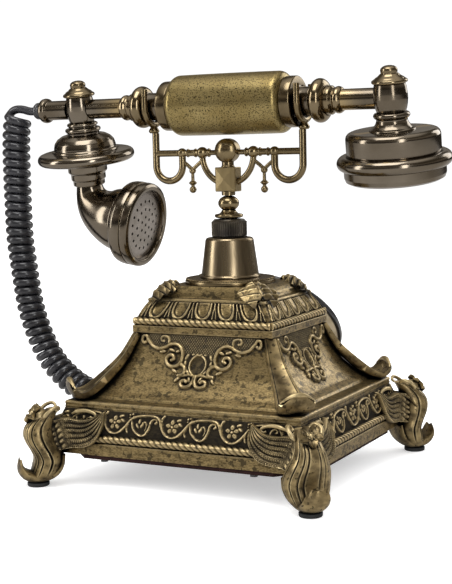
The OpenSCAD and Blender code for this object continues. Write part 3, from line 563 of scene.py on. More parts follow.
# the lambrequin's right half: distance from the middle, distance down from the band
SCROLL_EDGE = [
    (35.2, 3.6), (33.6, 5.4), (31.5, 7.4), (27.5, 8.8), (23.5, 8), (20, 6.1), (16.2, 5.7), (12.9, 7.4),
    (10.9, 10.8), (10.9, 14.6), (12.6, 17.8), (16.3, 18.9), (19.8, 17.4), (21, 14.4), (19.3, 12.3),
    (17, 12.5), (16.2, 14.2), (17.6, 15.2)]
SCROLL_CORNER = [(35.2, 3.6), (36.2, 1.8), (38.2, 2), (38.9, 4.2), (37.6, 5.8), (36.2, 5)]
SCROLL_INNER = [(22.6, 7.6), (20.9, 5), (21.4, 2.3), (24, 1.3), (26, 2.1), (26, 3.9), (24.5, 4.3)]
SCROLL_WAIST = [(11.6, 17.2), (8.9, 18.2), (7.7, 20.5), (8.4, 23.1), (11.2, 23.9)]
SCROLL_FOOT = [(0, 24), (3.6, 23.3), (8, 23.9), (11.3, 24.1)]
SCROLL_TAIL = [
    (0.5, 24), (0.7, 27.4), (2.5, 30.3), (5.6, 31), (7.9, 29.4), (7.7, 27.5), (6, 26.9), (4.7, 27.7)]
VEIL = [
    (0, -1), (35.5, -1), (35.2, 3.6), (31.5, 7.4), (27.5, 8.8), (23.5, 8), (16.2, 5.7), (12.9, 7.4),
    (10.9, 10.8), (10.6, 16.5), (8.9, 18.2), (7.7, 20.5), (8.4, 23.4), (0, 24)]
# each scroll's line, half width and height
SCROLLS = (
    (SCROLL_EDGE, 1.35, 2.0), (SCROLL_CORNER, 1.25, 1.9), (SCROLL_INNER, 1.05, 1.5),
    (SCROLL_WAIST, 1.3, 1.8), (SCROLL_FOOT, 1.1, 1.6), (SCROLL_TAIL, 1.35, 2.0))
# centre and heading of each leaf, and the height of the well's middle
SCROLL_LEAVES = (
    (7.9, 12.8, 60), (8.3, 16.6, 95), (5.6, 21.6, 130), (13.8, 9.6, 20), (18.6, 9.2, -20),
    (24.6, 10.4, 10), (14.6, 21.2, -25), (11.4, 26.2, 50), (3.6, 26.0, 110))
WELL_Y = 17.4


def lambrequin_height(a, v, scale):
    """Relief of a panel: a scaled veil, an oval well in its middle, and scrolls with leaves."""
    x, y = np.abs(a) / scale, v
    veil = inside(x, y, np.array(VEIL))
    h = np.where(veil, 0.55, 0.0)
    scales = 0.32 * np.abs(np.sin(PI * (x * 0.62 + y * 0.5))) * np.abs(np.sin(PI * (x * 0.62 - y * 0.5)))
    h += np.where(veil & (y < 11.5), scales, 0)
    well = np.hypot(x / 4.9, (y - WELL_Y) / 5.4)
    h = np.maximum(h, ridge((well - 1.08) * 5, 0.75, 1.3))
    for line, half, tall in SCROLLS:
        h = np.maximum(h, ridge(line_distance(x, y, smooth_line(line, 5)), half, tall))
    for cx, cy, angle in SCROLL_LEAVES:
        h = np.maximum(h, dome(x, y, cx, cy, 2.5, 1.15, 1.5, angle))
    for cx in (1.3, 3.9):
        h = np.maximum(h, dome(x, y, cx, 11.1 + 0.05 * cx, 1.2, 0.8, 1.4))
    return np.where(well < 0.96, 0.7 - 2.2 * np.sqrt(unit(1 - well ** 2)), h)


def lambrequin_ink(a, v, h, scale):
    """Black in the veil's hollows, in the well and in a thin shadow round every scroll."""
    x, y = np.abs(a) / scale, v
    veil = inside(x, y, np.array(VEIL)) & (np.hypot(x / 5.3, (y - WELL_Y) / 5.8) > 1)
    ink = np.where(veil, np.clip(1.9 - h / 0.62, 0, 0.95), 0.0)
    ink = np.where(h < -0.15, 0.8, ink)
    near = np.full(x.shape, 9.0)
    for line, half, tall in SCROLLS:
        near = np.minimum(near, line_distance(x, y, smooth_line(line, 3)))
    shadow = unit((2.5 - near) / 1.0) * (h < 0.5)
    return np.maximum(ink, 0.85 * shadow)


def egg_height(a, v, spacing):
    """Eggs in their cups, with a dart between each two."""
    h = np.zeros(a.shape)
    for i in range(-2, 3):
        dx = a - i * spacing
        rho = np.hypot(dx / (0.335 * spacing), np.maximum(v - 2.2, 0) / 7.2)
        h = np.maximum(h, ridge((rho - 1) * 4.6, 0.75, 1.25) * (v > -0.3))
        h = np.maximum(h, (0.95 - 0.035 * dx) * unit(1 - (rho / 0.84) ** 6))
    for i in range(-3, 3):
        dx = np.abs(a - (i + 0.5) * spacing)
        h = np.maximum(h, ridge(np.abs(dx - 0.14 * v), 0.42, 0.9) * (v < 9))
        h = np.maximum(h, ridge(dx, 0.55, 1.2) * (v < 4.6))
    return h * unit((9.5 - v) / 0.4) * unit((v + 0.1) / 0.4)


def casting_face(name, angle, along, out, replaces):
    """One side of the casting as a relief over its own section.

    along and out are the columns of RINGS that the side uses.
    """
    rows = section_rows()
    z, s = rows[:, 2], rows[:, 3]
    width, depth = rows[:, along], rows[:, out]
    t = np.linspace(-1, 1, FACE_COLUMNS)
    a = t[None, :] * width[:, None]
    zz = z[:, None] * np.ones_like(a)
    h = np.zeros_like(a)
    ink = np.zeros_like(a)
    vine = (z > VINE_LOW) & (z < VINE_HIGH)
    h[vine] += vine_height(a[vine], zz[vine])
    ink[vine] = np.clip(1.15 - h[vine] / 0.55, 0, 0.96)
    panel = (z > PANEL_LOW) & (z < PANEL_TOP)
    down = (s[np.argmin(np.abs(z - PANEL_TOP))] - s[panel])[:, None] * np.ones_like(a[panel])
    scale = RINGS[PANEL_ROW][along] / LAMBREQUIN_HALF
    h[panel] += lambrequin_height(a[panel], down, scale)
    ink[panel] = lambrequin_ink(a[panel], down, h[panel], scale)
    egg = (z > EGG_LOW) & (z < EGG_TOP + 0.2)
    wide, high = width[egg][:, None], RINGS[EGG_ROW][along]
    h[egg] += egg_height(a[egg] * (high / wide), EGG_TOP - zz[egg], high * 0.365)
    ink[egg] = np.clip(1.1 - h[egg] / 0.6, 0, 0.94) * unit((0.955 * wide - np.abs(a[egg])) / 0.8)
    h *= unit((width[:, None] - np.abs(a)) / 1.2)
    tangent = np.gradient(np.stack([depth, z], 1), axis=0)
    tangent /= np.linalg.norm(tangent, axis=1)[:, None] + 1e-9
    grid = np.stack([a, -(depth[:, None] + h * tangent[:, 1:2]), z[:, None] - h * tangent[:, 0:1]], -1)
    face = Build().grid(grid, at=turn(angle, "Z"), ink=ink)
    face.make(name, "cast_bronze", "base", replaces, sharp=50)


casting_face("casting_front", 0, 0, 1, ["housing"])
casting_face("casting_right", 90, 1, 0, [])
casting_face("casting_rear", 180, 0, 1, ["vine_relief", "egg_frieze", "panel_relief"])
casting_face("casting_left", 270, 1, 0, [])

cap = Build()
for z, hx, hy, ix, iy in ((108.6, 26.8, 26.6, 0.1, 0.1), (18.0, 78, 71.5, 60, 54)):
    outer = [(hx, hy), (-hx, hy), (-hx, -hy), (hx, -hy)]
    inner = [(ix, iy), (-ix, iy), (-ix, -iy), (ix, -iy)]
    cap.grid(np.array([[(x, y, z) for x, y in outer], [(x, y, z) for x, y in inner]]), around=True)
cap.make("casting_top_and_underside", "cast_bronze", "base")

# ---- rope mouldings
ROPE_R, ROPE_TURN = 2.1, 11.0


def rope_sides(build, hx, hy, z):
    """A twisted moulding round the casting, in four straight lengths."""
    for angle, half, off in ((0, hx, hy), (90, hy, hx), (180, hx, hy), (270, hy, hx)):
        n = int(2 * half / 0.5)
        path = np.stack([np.linspace(-half, half, n), np.full(n, -off), np.full(n, z)], 1)

        def strand(a, t, span=2 * half):
            return np.abs(np.cos(1.5 * (a - 2 * PI * t * span / ROPE_TURN)))

        build.tube(
            path, ROPE_R, 24, turn(angle, "Z"), shape=lambda a, t: 0.78 + 0.26 * strand(a, t),
            ink=lambda a, t: unit(0.95 - 2.4 * strand(a, t)))


ropes = Build()
rope_sides(ropes, 76.8, 70.3, 27.3)
rope_sides(ropes, 42.5, 36.6, 89.1)
ropes.make("rope_mouldings_twisted", "cast_bronze", "base", ["rope_mouldings"], sharp=60)

# ---- acanthus leaves on the top corners


def acanthus(build, at):
    """A leaf that droops over a corner: fingers with dark gaps, a raised stem and a turned-down rim."""
    u = np.linspace(0, 1, 90)[:, None]
    v = np.linspace(-1, 1, 61)[None, :]
    finger = 0.5 + 0.5 * np.cos(2 * PI * (4.6 * u - 1.5 * np.abs(v)))
    lobes = 0.84 + 0.20 * np.abs(np.cos(PI * (4.6 * u - 1.5)))
    wide = 11.5 * np.sin(PI * unit(0.13 + 0.81 * u)) ** 0.6 * lobes
    stem = np.exp(-(v / 0.12) ** 2)
    rise = 103.0 + 6.2 * np.sin(PI * 0.5 * u) ** 1.1 + 1.9 * np.sin(PI * u)
    lift = 1.8 * finger * unit((np.abs(v) - 0.06) * 9) + 1.7 * stem * (1 - 0.5 * u) + 0.3
    z = rise + lift - 5.2 * np.abs(v) ** 1.6
    x = 45.4 - 14.5 * u + 2.2 * np.abs(v) ** 1.5 * (1 - 1.6 * u)
    gaps = np.clip(1.1 - 3.6 * finger, 0, 0.95) * (np.abs(v) > 0.14)
    build.grid(np.stack([x, v * wide, z], -1), at=at, ink=gaps)


leaves = Build()
for corner in CORNERS:
    acanthus(leaves, corner @ turn(math.degrees(math.atan2(29, 34)), "Z"))
leaves.make("acanthus_leaves", "foot_bronze", "base", sharp=60)

# ---- scroll straps on the corners
# along the diagonal from the band's corner: outward reach, height, half width, thickness
STRAP = [
    (-1.6, 82.6, 3.6, 3.4), (0.6, 79.2, 3.9, 3.4), (3.4, 74.8, 4.2, 3.6), (6.4, 70.5, 4.6, 3.9),
    (10.3, 66.4, 5.2, 4.4), (15.4, 61.8, 6.0, 4.8), (20.6, 57.4, 7.0, 5.0), (25.2, 53.8, 8.2, 4.8),
    (29.2, 51.6, 9.4, 4.4), (32.8, 51.4, 10.2, 3.9), (35.4, 53.2, 10.4, 2.9), (36.7, 56.0, 9.6, 1.9),
    (37.1, 58.2, 8.0, 0.9)]


def strap(build, at):
    """A curved strap with a groove along each edge, ending in a rolled lip."""
    rows = smooth_line(STRAP, 7)
    index, last = np.arange(len(rows)), len(rows) - 1
    steps = index / last
    w = np.linspace(-1, 1, 61)
    side = np.concatenate([w, w[::-1]])
    at_row = (steps[:, None] - 0.15 * side[None, :] ** 2 * steps[:, None] ** 7) * last
    reach, height, half, thick = (np.interp(at_row, index, rows[:, k]) for k in range(4))
    t = headings(rows[:, :2])
    nx = np.interp(at_row, index, -t[:, 1])
    nz = np.interp(at_row, index, t[:, 0])
    out = np.abs(w)
    groove = unit(1 - np.abs(out - 0.80) / 0.045)
    top = np.where(out < 0.76, -0.14 * (1 - (out / 0.76) ** 2), 0.06) - 0.20 * groove
    under = -(1 - 0.35 * out[::-1] ** 3)
    lift = thick * np.concatenate([top, under])[None, :]
    spread = np.concatenate([w, w[::-1] * 0.92])
    g = np.stack([reach + nx * lift, half * spread[None, :], height + nz * lift], -1)
    ink = np.concatenate([groove, 0 * w])[None, :] * unit((0.93 - steps[:, None]) * 12)
    build.grid(g, around=True, at=at, ink=0.95 * ink).ring_cap(g[-1], False, at).ring_cap(g[0], True, at)
    build.tube(g[-1, 2:59], 0.25 + 1.25 * (1 - w[2:59] ** 2), 14, at)


straps = Build()
for corner in CORNERS:
    strap(straps, corner @ shift(43.7, 37.8) @ turn(44.6, "Z"))
straps.make("scroll_straps", "foot_bronze", "base", ["corner_scrolls"], sharp=55)

# ---- feet
FOOT_X, FOOT_Y = 83.0, 79.5
# leg stations: reach from the pad centre, height, half width, half thickness
LEG = [
    (-9.5, 43, 4.2, 3.4), (-6.4, 40.6, 5.6, 5.0), (-3.4, 37.5, 6.6, 6.4), (-1.0, 33.5, 7.8, 7.6),
    (-0.6, 29, 9.4, 8.2), (-2.0, 24.5, 11.2, 8.2), (-4.3, 20, 12.5, 8.0), (-5.7, 15.5, 12.8, 7.8),
    (-4.7, 11, 11.8, 7.8), (-3, 7, 10, 7.4), (-1.2, 4.6, 8, 6.8)]
# shoe stations: reach, height, half width, half thickness, from the toe tip to the heel
SHOE = [
    (9.8, 14.6, 3.6, 0.7), (9.8, 11.8, 6.2, 1.6), (8.8, 8.8, 7.4, 2.5), (5.8, 6.3, 7.8, 3.1),
    (0.6, 5.2, 7.8, 3.2), (-4.6, 5.8, 8.6, 3.2), (-9.2, 8.4, 10, 3.0), (-12, 12.6, 11, 2.5),
    (-13.2, 18, 11, 1.6)]
WING_TOP = [(88, 29), (84, 33), (77, 36.4), (68.6, 38), (61, 37.2), (55.2, 37.6), (50, 39.8), (45.2, 42.4)]
WING_LOW = [
    (86, 20), (80, 18.6), (72, 19.4), (64, 21.4), (56, 22.2), (50.2, 24.8), (46.4, 29.5), (44.4, 36),
    (45.2, 42.4)]
# the grooves' places round the leg and their half width, in degrees
FLUTE_GROOVES, GROOVE_HALF = (17, 33, 58, 92), 2.7


def foot_leg(build, at):
    """The fluted leg: rounded flutes between narrow inked grooves."""
    rows = smooth_line(LEG, 6)
    a = even_angles(180)[None, :]
    depth = unit((42 - rows[:, 1:2]) / 6) * unit((rows[:, 1:2] - 6) / 5)
    grooves = np.zeros_like(a)
    for centre in FLUTE_GROOVES:
        for side in BOTH:
            off = np.abs(np.mod(a - side * math.radians(centre) + PI, 2 * PI) - PI)
            grooves = np.maximum(grooves, unit(1.25 - off / math.radians(GROOVE_HALF)))
    cut = depth * grooves
    flute = 1 - 0.13 * cut
    c, s = np.cos(a), np.sin(a)
    x = rows[:, 0:1] + rows[:, 3:4] * np.sign(c) * np.abs(c) ** 0.85 * flute
    y = rows[:, 2:3] * np.sign(s) * np.abs(s) ** 0.85 * flute
    g = np.stack([x, y, rows[:, 1:2] * np.ones_like(x)], -1)
    build.grid(g[::-1], around=True, at=at, ink=0.95 * cut[::-1])
    build.ring_cap(g[0], False, at).ring_cap(g[-1], True, at)


def foot_shoe(build, at):
    """The shoe under the leg: cupped at the toe and rippled where it rises."""
    rows = smooth_line(SHOE, 6)
    reach, height, half, thick = (rows[:, k:k + 1] for k in range(4))
    t = headings(rows[:, :2])
    a = even_angles(32)[None, :]
    x = reach - t[:, 1:2] * thick * np.cos(a)
    z = height + t[:, 0:1] * thick * np.cos(a)
    toe = -1.6 * np.abs(np.sin(a)) ** 3 * unit(reach / 9)
    cup = toe + 0.5 * np.sin(5 * a) * unit(height / 4 - 2.4)
    build.closed_skin(np.stack([x, half * np.sin(a), z - cup], -1), at)


def wing(build, at, face):
    """A feathered wing on the plinth: a skin between its two edges, which meet at the tip.

    face is the plinth's half depth.
    """
    u = np.linspace(0, 1, 110)
    v = np.linspace(0, 1, 64)[None, :]

    def walk(line):
        s = run_length(line)
        return np.stack([np.interp(u * s[-1], s, line[:, k]) for k in (0, 1)], 1)

    a, b = walk(smooth_line(WING_TOP, 12)), walk(smooth_line(WING_LOW, 12))
    x = a[:, 0:1] * (1 - v) + b[:, 0:1] * v
    z = a[:, 1:2] * (1 - v) + b[:, 1:2] * v
    uu = u[:, None] * np.ones_like(v)
    feather = np.abs(np.sin(PI * 6 * v)) ** 0.6
    lift = 3.0 + 1.3 * feather * unit((uu - 0.36) * 9) * unit((1.0 - uu) * 6)
    fringe = np.sin(2 * PI * (uu * 40 + 2.2 * np.abs(np.mod(6 * v, 1) - 0.5)))
    barbs = 0.3 * fringe * unit((uu - 0.3) * 8) * unit((0.85 - uu) * 8)
    bands, slants = np.abs(np.sin(PI * 13 * uu)), np.abs(np.sin(PI * 6 * v + PI * 6.5 * uu))
    scales = 1.7 * bands * slants * unit((0.44 - uu) * 9)
    rim = 1.2 * (np.exp(-(v / 0.035) ** 2) + np.exp(-((1 - v) / 0.04) ** 2))
    edge = unit(v / 0.02) * unit((1 - v) / 0.02) * unit((1 - uu) / 0.02)
    root = 5.2 * unit((x - 62) / 20) ** 1.3
    slope = np.interp(z, (20, 25, 30, 33, 37, 42.4), (0, 0, -1.7, -2.1, -3.2, -5.2))
    y = face + slope + (lift + barbs + scales + rim + root) * edge - 0.6
    gaps = unit(1.1 - feather / 0.42) * unit((uu - 0.4) * 8) * unit((0.97 - uu) * 20)
    holes = unit(1.0 - 1.6 * scales) * unit((0.45 - uu) * 9) * unit((uu - 0.05) * 8)
    hatch = np.clip(-4.0 * barbs, 0, 0.85)
    ink = np.maximum(np.maximum(gaps, holes), hatch) * (np.abs(v - 0.5) < 0.46)
    build.grid(np.stack([x, y, z], -1), at=at, ink=0.92 * ink)


def rosette(build, at):
    """Five petals round a beaded button."""
    u = np.linspace(0, 1, 12)[:, None]
    v = np.linspace(-1, 1, 11)[None, :]
    wide = 2.5 * np.sin(PI * (0.12 + 0.80 * u)) ** 0.7
    x = (1.0 + 5.4 * u) * np.ones_like(v) - 0.5 * np.exp(-(v / 0.25) ** 2) * u ** 4
    z = 0.9 + 1.1 * np.sin(PI * u * 0.8) + 0.8 * np.abs(v) ** 2 - 0.5 * np.exp(-(v / 0.22) ** 2)
    top = np.stack([x, v * wide, z], -1)
    under = np.stack([x, v * wide * 0.9, z - 1.6], -1)
    petal = np.concatenate([top, under[:, ::-1]], 1)
    for k in range(5):
        spin = at @ turn(72 * k, "Z")
        build.grid(petal, around=True, at=spin).ring_cap(petal[-1], False, spin)
    build.ball((0, 0, 1.3), 1.5, at, rows=8, sides=14)
    for k in range(7):
        a = 2 * PI * k / 7
        build.ball((1.7 * math.cos(a), 1.7 * math.sin(a), 1.7), 0.5, at, rows=5, sides=8)


def curl(build, at, points, radius):
    """A thin scroll that swells from its start and thins towards its end."""
    path = smooth_line(points, 8)
    swell = np.interp(np.linspace(0, 1, len(path)), (0, 0.15, 0.7, 1), (0.4, 1, 0.8, 0.55))
    build.tube(path, swell * radius, 12, at)


# reach, sideways place and height of the scroll beside a leg
LEG_CURL = [
    (-3, 6.5, 38.5), (-4, 8.2, 41), (-7, 8.8, 43.6), (-10.5, 7.6, 44.8), (-12, 5.4, 43.4),
    (-10.5, 4.4, 42)]
# place along a side, rise from the plinth and height of the scroll over a wing
WING_CURL = [
    (66, 2.4, 40), (62, 2.2, 41.6), (57, 1.6, 42), (52.5, 1.4, 41), (50.6, 1.8, 39.2), (52.2, 2.4, 38.2),
    (54, 2.4, 39)]
SWAP_XY = np.eye(4)[[1, 0, 2, 3]]


def foot_part(name, corner, replaces):
    foot = Build()
    own = corner @ shift(FOOT_X, FOOT_Y) @ turn(45, "Z")
    foot_leg(foot, own)
    foot_shoe(foot, own)
    foot.ball((-1.8, 0, 38.6), 5.2, own, rows=14, sides=24)
    rosette(foot, own @ shift(0.9, 0, 40.4) @ turn(50, "Y"))
    for side in BOTH:
        curl(foot, own, [(x, y * side, z) for x, y, z in LEG_CURL], 1.2)
    across = corner @ SWAP_XY @ shift(-6.5)
    wing(foot, corner, 71.5)
    wing(foot, across, 78.0)
    for place, face in ((corner, 66.6), (across, 73.2)):
        curl(foot, place, [(x, face + y, z) for x, y, z in WING_CURL], 1.15)
    foot.make(name, "foot_bronze", "base", replaces, sharp=60)


foot_part("foot_rear_mouth", flip(1, 1), ["feet"])
foot_part("foot_rear_ear", flip(-1, 1), [])
foot_part("foot_front_mouth", flip(1, -1), [])
foot_part("foot_front_ear", flip(-1, -1), [])

pads = Build()
for corner in CORNERS:
    pads.lathe(
        rounded([(0.01, 0), (5.8, 0), (6.2, 0.5), (6.2, 2.2), (0.01, 2.2)], 0.3),
        corner @ shift(FOOT_X, FOOT_Y), 48)
pads.make("rubber_pads", "pad_rubber", "base", ["foot_pads"])

# ---- pedestal on top of the casting
WORLD = np.eye(4)
DISC_R, CONE_TOP, STEM_R, GUIDE_R = 26.0, 134.6, 3.45, 3.53
BEAD_COUNT, RIB_COUNT = 110, 44

disc = Build().lathe(rounded([
    (STEM_R + 1.2, 108.6), (DISC_R, 108.6), (DISC_R, 110.6), (DISC_R - 0.7, 110.9), (DISC_R - 0.7, 111.4),
    (24.2, 111.8), (STEM_R + 1.2, 111.8)], 0.25), sides=160)
for k in range(BEAD_COUNT):
    a = 2 * PI * k / BEAD_COUNT
    disc.ball(((DISC_R - 0.75) * math.cos(a), (DISC_R - 0.75) * math.sin(a), 111.2), 0.48, rows=6, sides=8)
disc.make("flange_disc_beaded", "antique_brass", "base", ["flange_disc"], sharp=50)
turned("cone", [
    (STEM_R + 1.2, 111.8), (17.4, 111.8), (17.4, 112.9), (16.7, 113.2), (16.5, 114), (14.6, 128),
    (13.9, CONE_TOP - 1.3), (13.2, CONE_TOP - 0.3), (12.4, CONE_TOP), (STEM_R + 1.2, CONE_TOP)],
    WORLD, "brushed_brass", "base", ["pedestal_cone"], 0.5, sides=128)


def collar_ribs(a, h):
    band = unit((h - CONE_TOP - 1.0) * 4) * unit((CONE_TOP + 9.2 - h) * 4)
    return 1 - 0.045 * band * (0.5 + 0.5 * np.cos(RIB_COUNT * a))


collar_line = [(STEM_R + 1.3, CONE_TOP), (10.0, CONE_TOP), (10.2, CONE_TOP + 0.5), (9.6, CONE_TOP + 0.9)]
collar_line += [(10.2, z) for z in np.linspace(CONE_TOP + 1.1, CONE_TOP + 9.1, 14)]
collar_line += [
    (9.5, CONE_TOP + 9.4), (8.7, CONE_TOP + 10.4), (GUIDE_R + 1.5, CONE_TOP + 10.6),
    (GUIDE_R, CONE_TOP + 10.2)]
collar = Build().lathe(collar_line, sides=8 * RIB_COUNT, shape=collar_ribs)
collar.make("guide_collar_ribbed", "collar_black", "base", ["guide_collar"])

# ---- stem, block and hub
turned("stem_rod", [(0.01, 84), (STEM_R, 84), (STEM_R, 145.6)],
       WORLD, "antique_brass", "cradle", ["stem"], sides=48)
stem_top = Build()
stem_top.lathe(rounded([
    (STEM_R, 145.5), (6.2, 145.6), (7.9, 146.1), (8.3, 147), (7.9, 147.9), (5.6, 148.3), (4.3, 149.4),
    (4.2, 150.2)], 0.3))
ball = [(6.1 * cosd(a), 154.1 + 4.6 * sind(a)) for a in range(-76, 77, 8)]
stem_top.lathe([(0.05, ball[0][1])] + ball + [(3.9, 158.6), (3.9, 160.8)])
stem_top.make("stem_mouldings", "antique_brass", "cradle")


def faceted_block(low, high, half_x, half_y, peak):
    """A square block whose front and rear faces rise straight from the edges to a point."""
    b = Build()
    middle, tall = (low + high) / 2, (high - low) / 2
    square = np.array([(half_x, half_y), (-half_x, half_y), (-half_x, -half_y), (half_x, -half_y)], float)
    rings = [(low, 0.95), (low + 0.4, 1.0), (high - 0.4, 1.0), (high, 0.95)]
    b.grid(np.array([[(x * k, y * k, z) for x, y in square] for z, k in rings]), around=True)
    for z, under in ((low, False), (high, True)):
        b.ring_cap(np.array([(0.95 * x, 0.95 * y, z) for x, y in square]), not under)
    corners = np.array([(1, 1), (-1, 1), (-1, -1), (1, -1)])
    for sy in BOTH:
        steps = [(0.97, half_y - 0.1), (0.93, half_y + 0.3), (0.03, peak - 0.1)]
        rings = np.array([[(x * k * half_x, y, middle + z * k * tall) for x, z in corners] for k, y in steps])
        b.grid(rings[::-1], around=True, at=flip(1, sy))
        b.ring_cap(rings[-1], True, flip(1, sy))
    return b


faceted_block(160.8, 174.7, 6.5, 3.6, 6.2).make(
    "stem_block_faceted", "brushed_gold", "cradle", ["stem_block"], sharp=15)
turned("stem_neck", [(STEM_R, 174.5), (3.9, 174.7), (3.9, 175.2), (STEM_R, 175.6), (STEM_R, 179)],
       WORLD, "antique_brass", "cradle", sides=48)
hub_line = [(0.05, -6.4), (1.6, -6.3), (3.2, -5.8), (4.6, -5.1), (5.8, -4.2), (6.6, -3.4), (6.9, -2.4)]
hub_line += [(r, -y) for r, y in hub_line[::-1]]
turned("hub_domed", hub_line, shift(0, 0, 184.1) @ turn(90, "X"), "antique_brass", "cradle", ["hub_disc"],
    0.5)

# ---- yoke, pendants and forks
ROD_X, BAR_Z, LOOP_R, LOOP_Z, BALL_NEAR, BALL_FAR = 46.9, 183.1, 8.7, 175.8, 16.3, 29.6
yoke = Build()
AXIS_X = turn(90, "Y")


def ring_on(x, r, half):
    """A thin rounded ring round the bar."""
    return [(1.9, x - half), (r - 0.2, x - 0.8 * half), (r, x), (r - 0.2, x + 0.8 * half), (1.9, x + half)]


def ball_on(x, r):
    return on_circle(0, x, r, -52, 53, 13)


bar_line = [(0.1, 6.0), (1.5, 6.0), (1.5, BALL_NEAR - 5.6)]
bar_line += ring_on(BALL_NEAR - 4.3, 2.6, 0.6) + ball_on(BALL_NEAR, 3.4) + ring_on(BALL_NEAR + 4.3, 2.6, 0.6)
bar_line += ring_on(BALL_FAR - 4.0, 2.5, 0.55) + ball_on(BALL_FAR, 2.9) + [(1.9, BALL_FAR + 2.4),
    (1.9, ROD_X)]
for sx in BOTH:
    side = flip(sx)
    yoke.lathe(rounded(bar_line, 0.12), side @ shift(0, 0, BAR_Z) @ AXIS_X, 40)
    loop = [(ROD_X, 0, 195), (ROD_X, 0, 186), (ROD_X, 0, 179)]
    loop += [(x, 0, z) for x, z in on_circle(ROD_X - LOOP_R, LOOP_Z, LOOP_R, 0, -181, -12)]
    loop += [(ROD_X - 2 * LOOP_R, 0, 179), (ROD_X - 2 * LOOP_R, 0, BAR_Z)]
    yoke.tube(smooth_line(loop, 4), 2.05, 20, side)
bow = [(x, 0, z) for x, z in on_circle(0, BAR_Z - 1.7, BALL_NEAR, 0, -181, -6)]
yoke.tube(bow, 1.8, 20)
yoke.make("yoke_turned", "antique_brass", "cradle", ["yoke"])

pendants = Build()
for sx in BOTH:
    hang = flip(sx) @ shift(22.95)
    for s in (-1, 1):
        pendants.tube([(0, 0, 173.4), (s * 3.3, 0, 176.2), (s * 6.6, 0, 178.7)], 1.1, 16, hang)
    pendants.ball((0, 0, 172.9), 2.0, hang)
    pendants.lathe(rounded([
        (0.1, 162.5), (1.0, 163.2), (1.0, 164.5), (1.5, 164.8), (2.5, 165.8), (1.5, 166.8), (1.0, 167.1),
        (0.9, 172)], 0.15), hang, 32)
    pendants.ball((0, 0, 162), 2.05, hang)
pendants.make("pendants_turned", "antique_brass", "cradle", ["pendants"])

HANDSET_Z, SEAT_R, FORK_X, FORK_FOOT_Z, PRONG_RISE = 210.4, 10.35, 47.95, 195.0, 9.6
forks = Build()
for sx in BOTH:
    at = flip(sx) @ shift(FORK_X)
    forks.lathe(rounded([
        (0.05, FORK_FOOT_Z), (2.4, FORK_FOOT_Z), (3.1, 195.9), (3.1, 196.7), (2.3, 197.9), (2.0, 198.6),
        (2.1, 200.2)], 0.3), at, 32)
    prong = [(0, SEAT_R, HANDSET_Z + PRONG_RISE), (0, SEAT_R, HANDSET_Z + 3.4)]
    prong += [(0, y, z) for y, z in on_circle(0, HANDSET_Z, SEAT_R, 0, -181, -9)]
    prong += [(0, -SEAT_R, HANDSET_Z + 3.4), (0, -SEAT_R, HANDSET_Z + PRONG_RISE)]
    path = smooth_line(prong, 3)
    taper = 2.0 - 0.2 * np.abs(np.linspace(-1, 1, len(path))) ** 3
    forks.tube(path, taper, 18, at)
forks.make("forks_turned", "antique_brass", "cradle", ["forks"])


# ---- handset
HANDSET_LEAN, POST_X, CORE_R = 9.0, 98.6, 5.0
GRIP_SHIFT, COLLAR_SHIFT, BUSHING_X = -2.7, -1.5, 130.8
AT_HANDSET = shift(0, 0, HANDSET_Z) @ turn(-HANDSET_LEAN, "X")
AT_AXIS = AT_HANDSET @ AXIS_X
AT_MOUTH, AT_EAR = AT_HANDSET @ shift(POST_X), AT_HANDSET @ shift(-POST_X)
AT_HORN = AT_HANDSET @ shift(77.6, 0, -68.2) @ turn(-99.5, "Y")


grip_line = [(CORE_R, -35.5), (12.6, -35.5)] + on_circle(12.9, -31.1, 4.4, -88, 1, 11)
grip_line += [(17.4, -20), (17.45, 0), (17.4, 20)] + on_circle(12.9, 31.1, 4.4, 0, 89, 11)
grip_line += [(12.6, 35.5), (CORE_R, 35.5)]
turned("grip_barrel", grip_line, AT_HANDSET @ shift(GRIP_SHIFT) @ AXIS_X, "grip_bronze", "handset", ["grip"],
       0.3, sides=160)


def both_sides(name, profile, material, replaces, moved=0.0, radius=0.3, sides=96):
    """The same turned shape at both ends, all of it moved sideways by one amount."""
    b = Build()
    for sx in BOTH:
        b.lathe(rounded(profile, radius), AT_HANDSET @ shift(moved) @ flip(sx) @ AXIS_X, sides)
    b.make(name, material, "handset", replaces)


both_sides("ferrules_plain", [
    (CORE_R, 35.5), (13.6, 35.5), (14.2, 36.0), (14.3, 38.8), (14.2, 41.6), (13.6, 42.2), (CORE_R, 42.2)],
    "ring_brass", ["ferrules"], GRIP_SHIFT, 0.3, 128)
necks = Build()
for sx in BOTH:
    low, high = 42.2 + sx * GRIP_SHIFT, 52.3 + sx * COLLAR_SHIFT
    necks.lathe(rounded([
        (CORE_R, low), (8.9, low), (8.9, low + 0.8), (8.0, low + 1.2), (8.0, high - 0.8), (8.9, high - 0.5),
        (8.9, high), (CORE_R, high)], 0.2), AT_HANDSET @ flip(sx) @ AXIS_X)
necks.make("necks_turned", "handset_brass", "handset", ["necks"])
both_sides("collars_round",
           [(CORE_R, 52.3), (8.6, 52.3)] + on_circle(8.2, 56.5, 4.0, -80, 81) + [(8.6, 60.6), (CORE_R, 60.6)],
           "ring_brass", ["collar_rings"], COLLAR_SHIFT, 0.2)
both_sides("collars_stepped", [
    (CORE_R, 60.6), (8.0, 60.6), (8.0, 63.5), (7.2, 64.3), (6.4, 65), (6.6, 65.6), (7.3, 66.4),
    (7.5, 67.4), (7.3, 68.4), (6.6, 69.4), (6.0, 70), (CORE_R, 70)],
    "ring_brass", ["step_collars"], COLLAR_SHIFT, 0.2)
arms = Build()
for sx in BOTH:
    low = 70 + sx * COLLAR_SHIFT
    arms.lathe([(CORE_R, low), (5.8, low), (5.8, 80), (5.8, 91)], AT_HANDSET @ flip(sx) @ AXIS_X, 64)
arms.make("arms", "handset_brass", "handset", ["arm_tubes"])


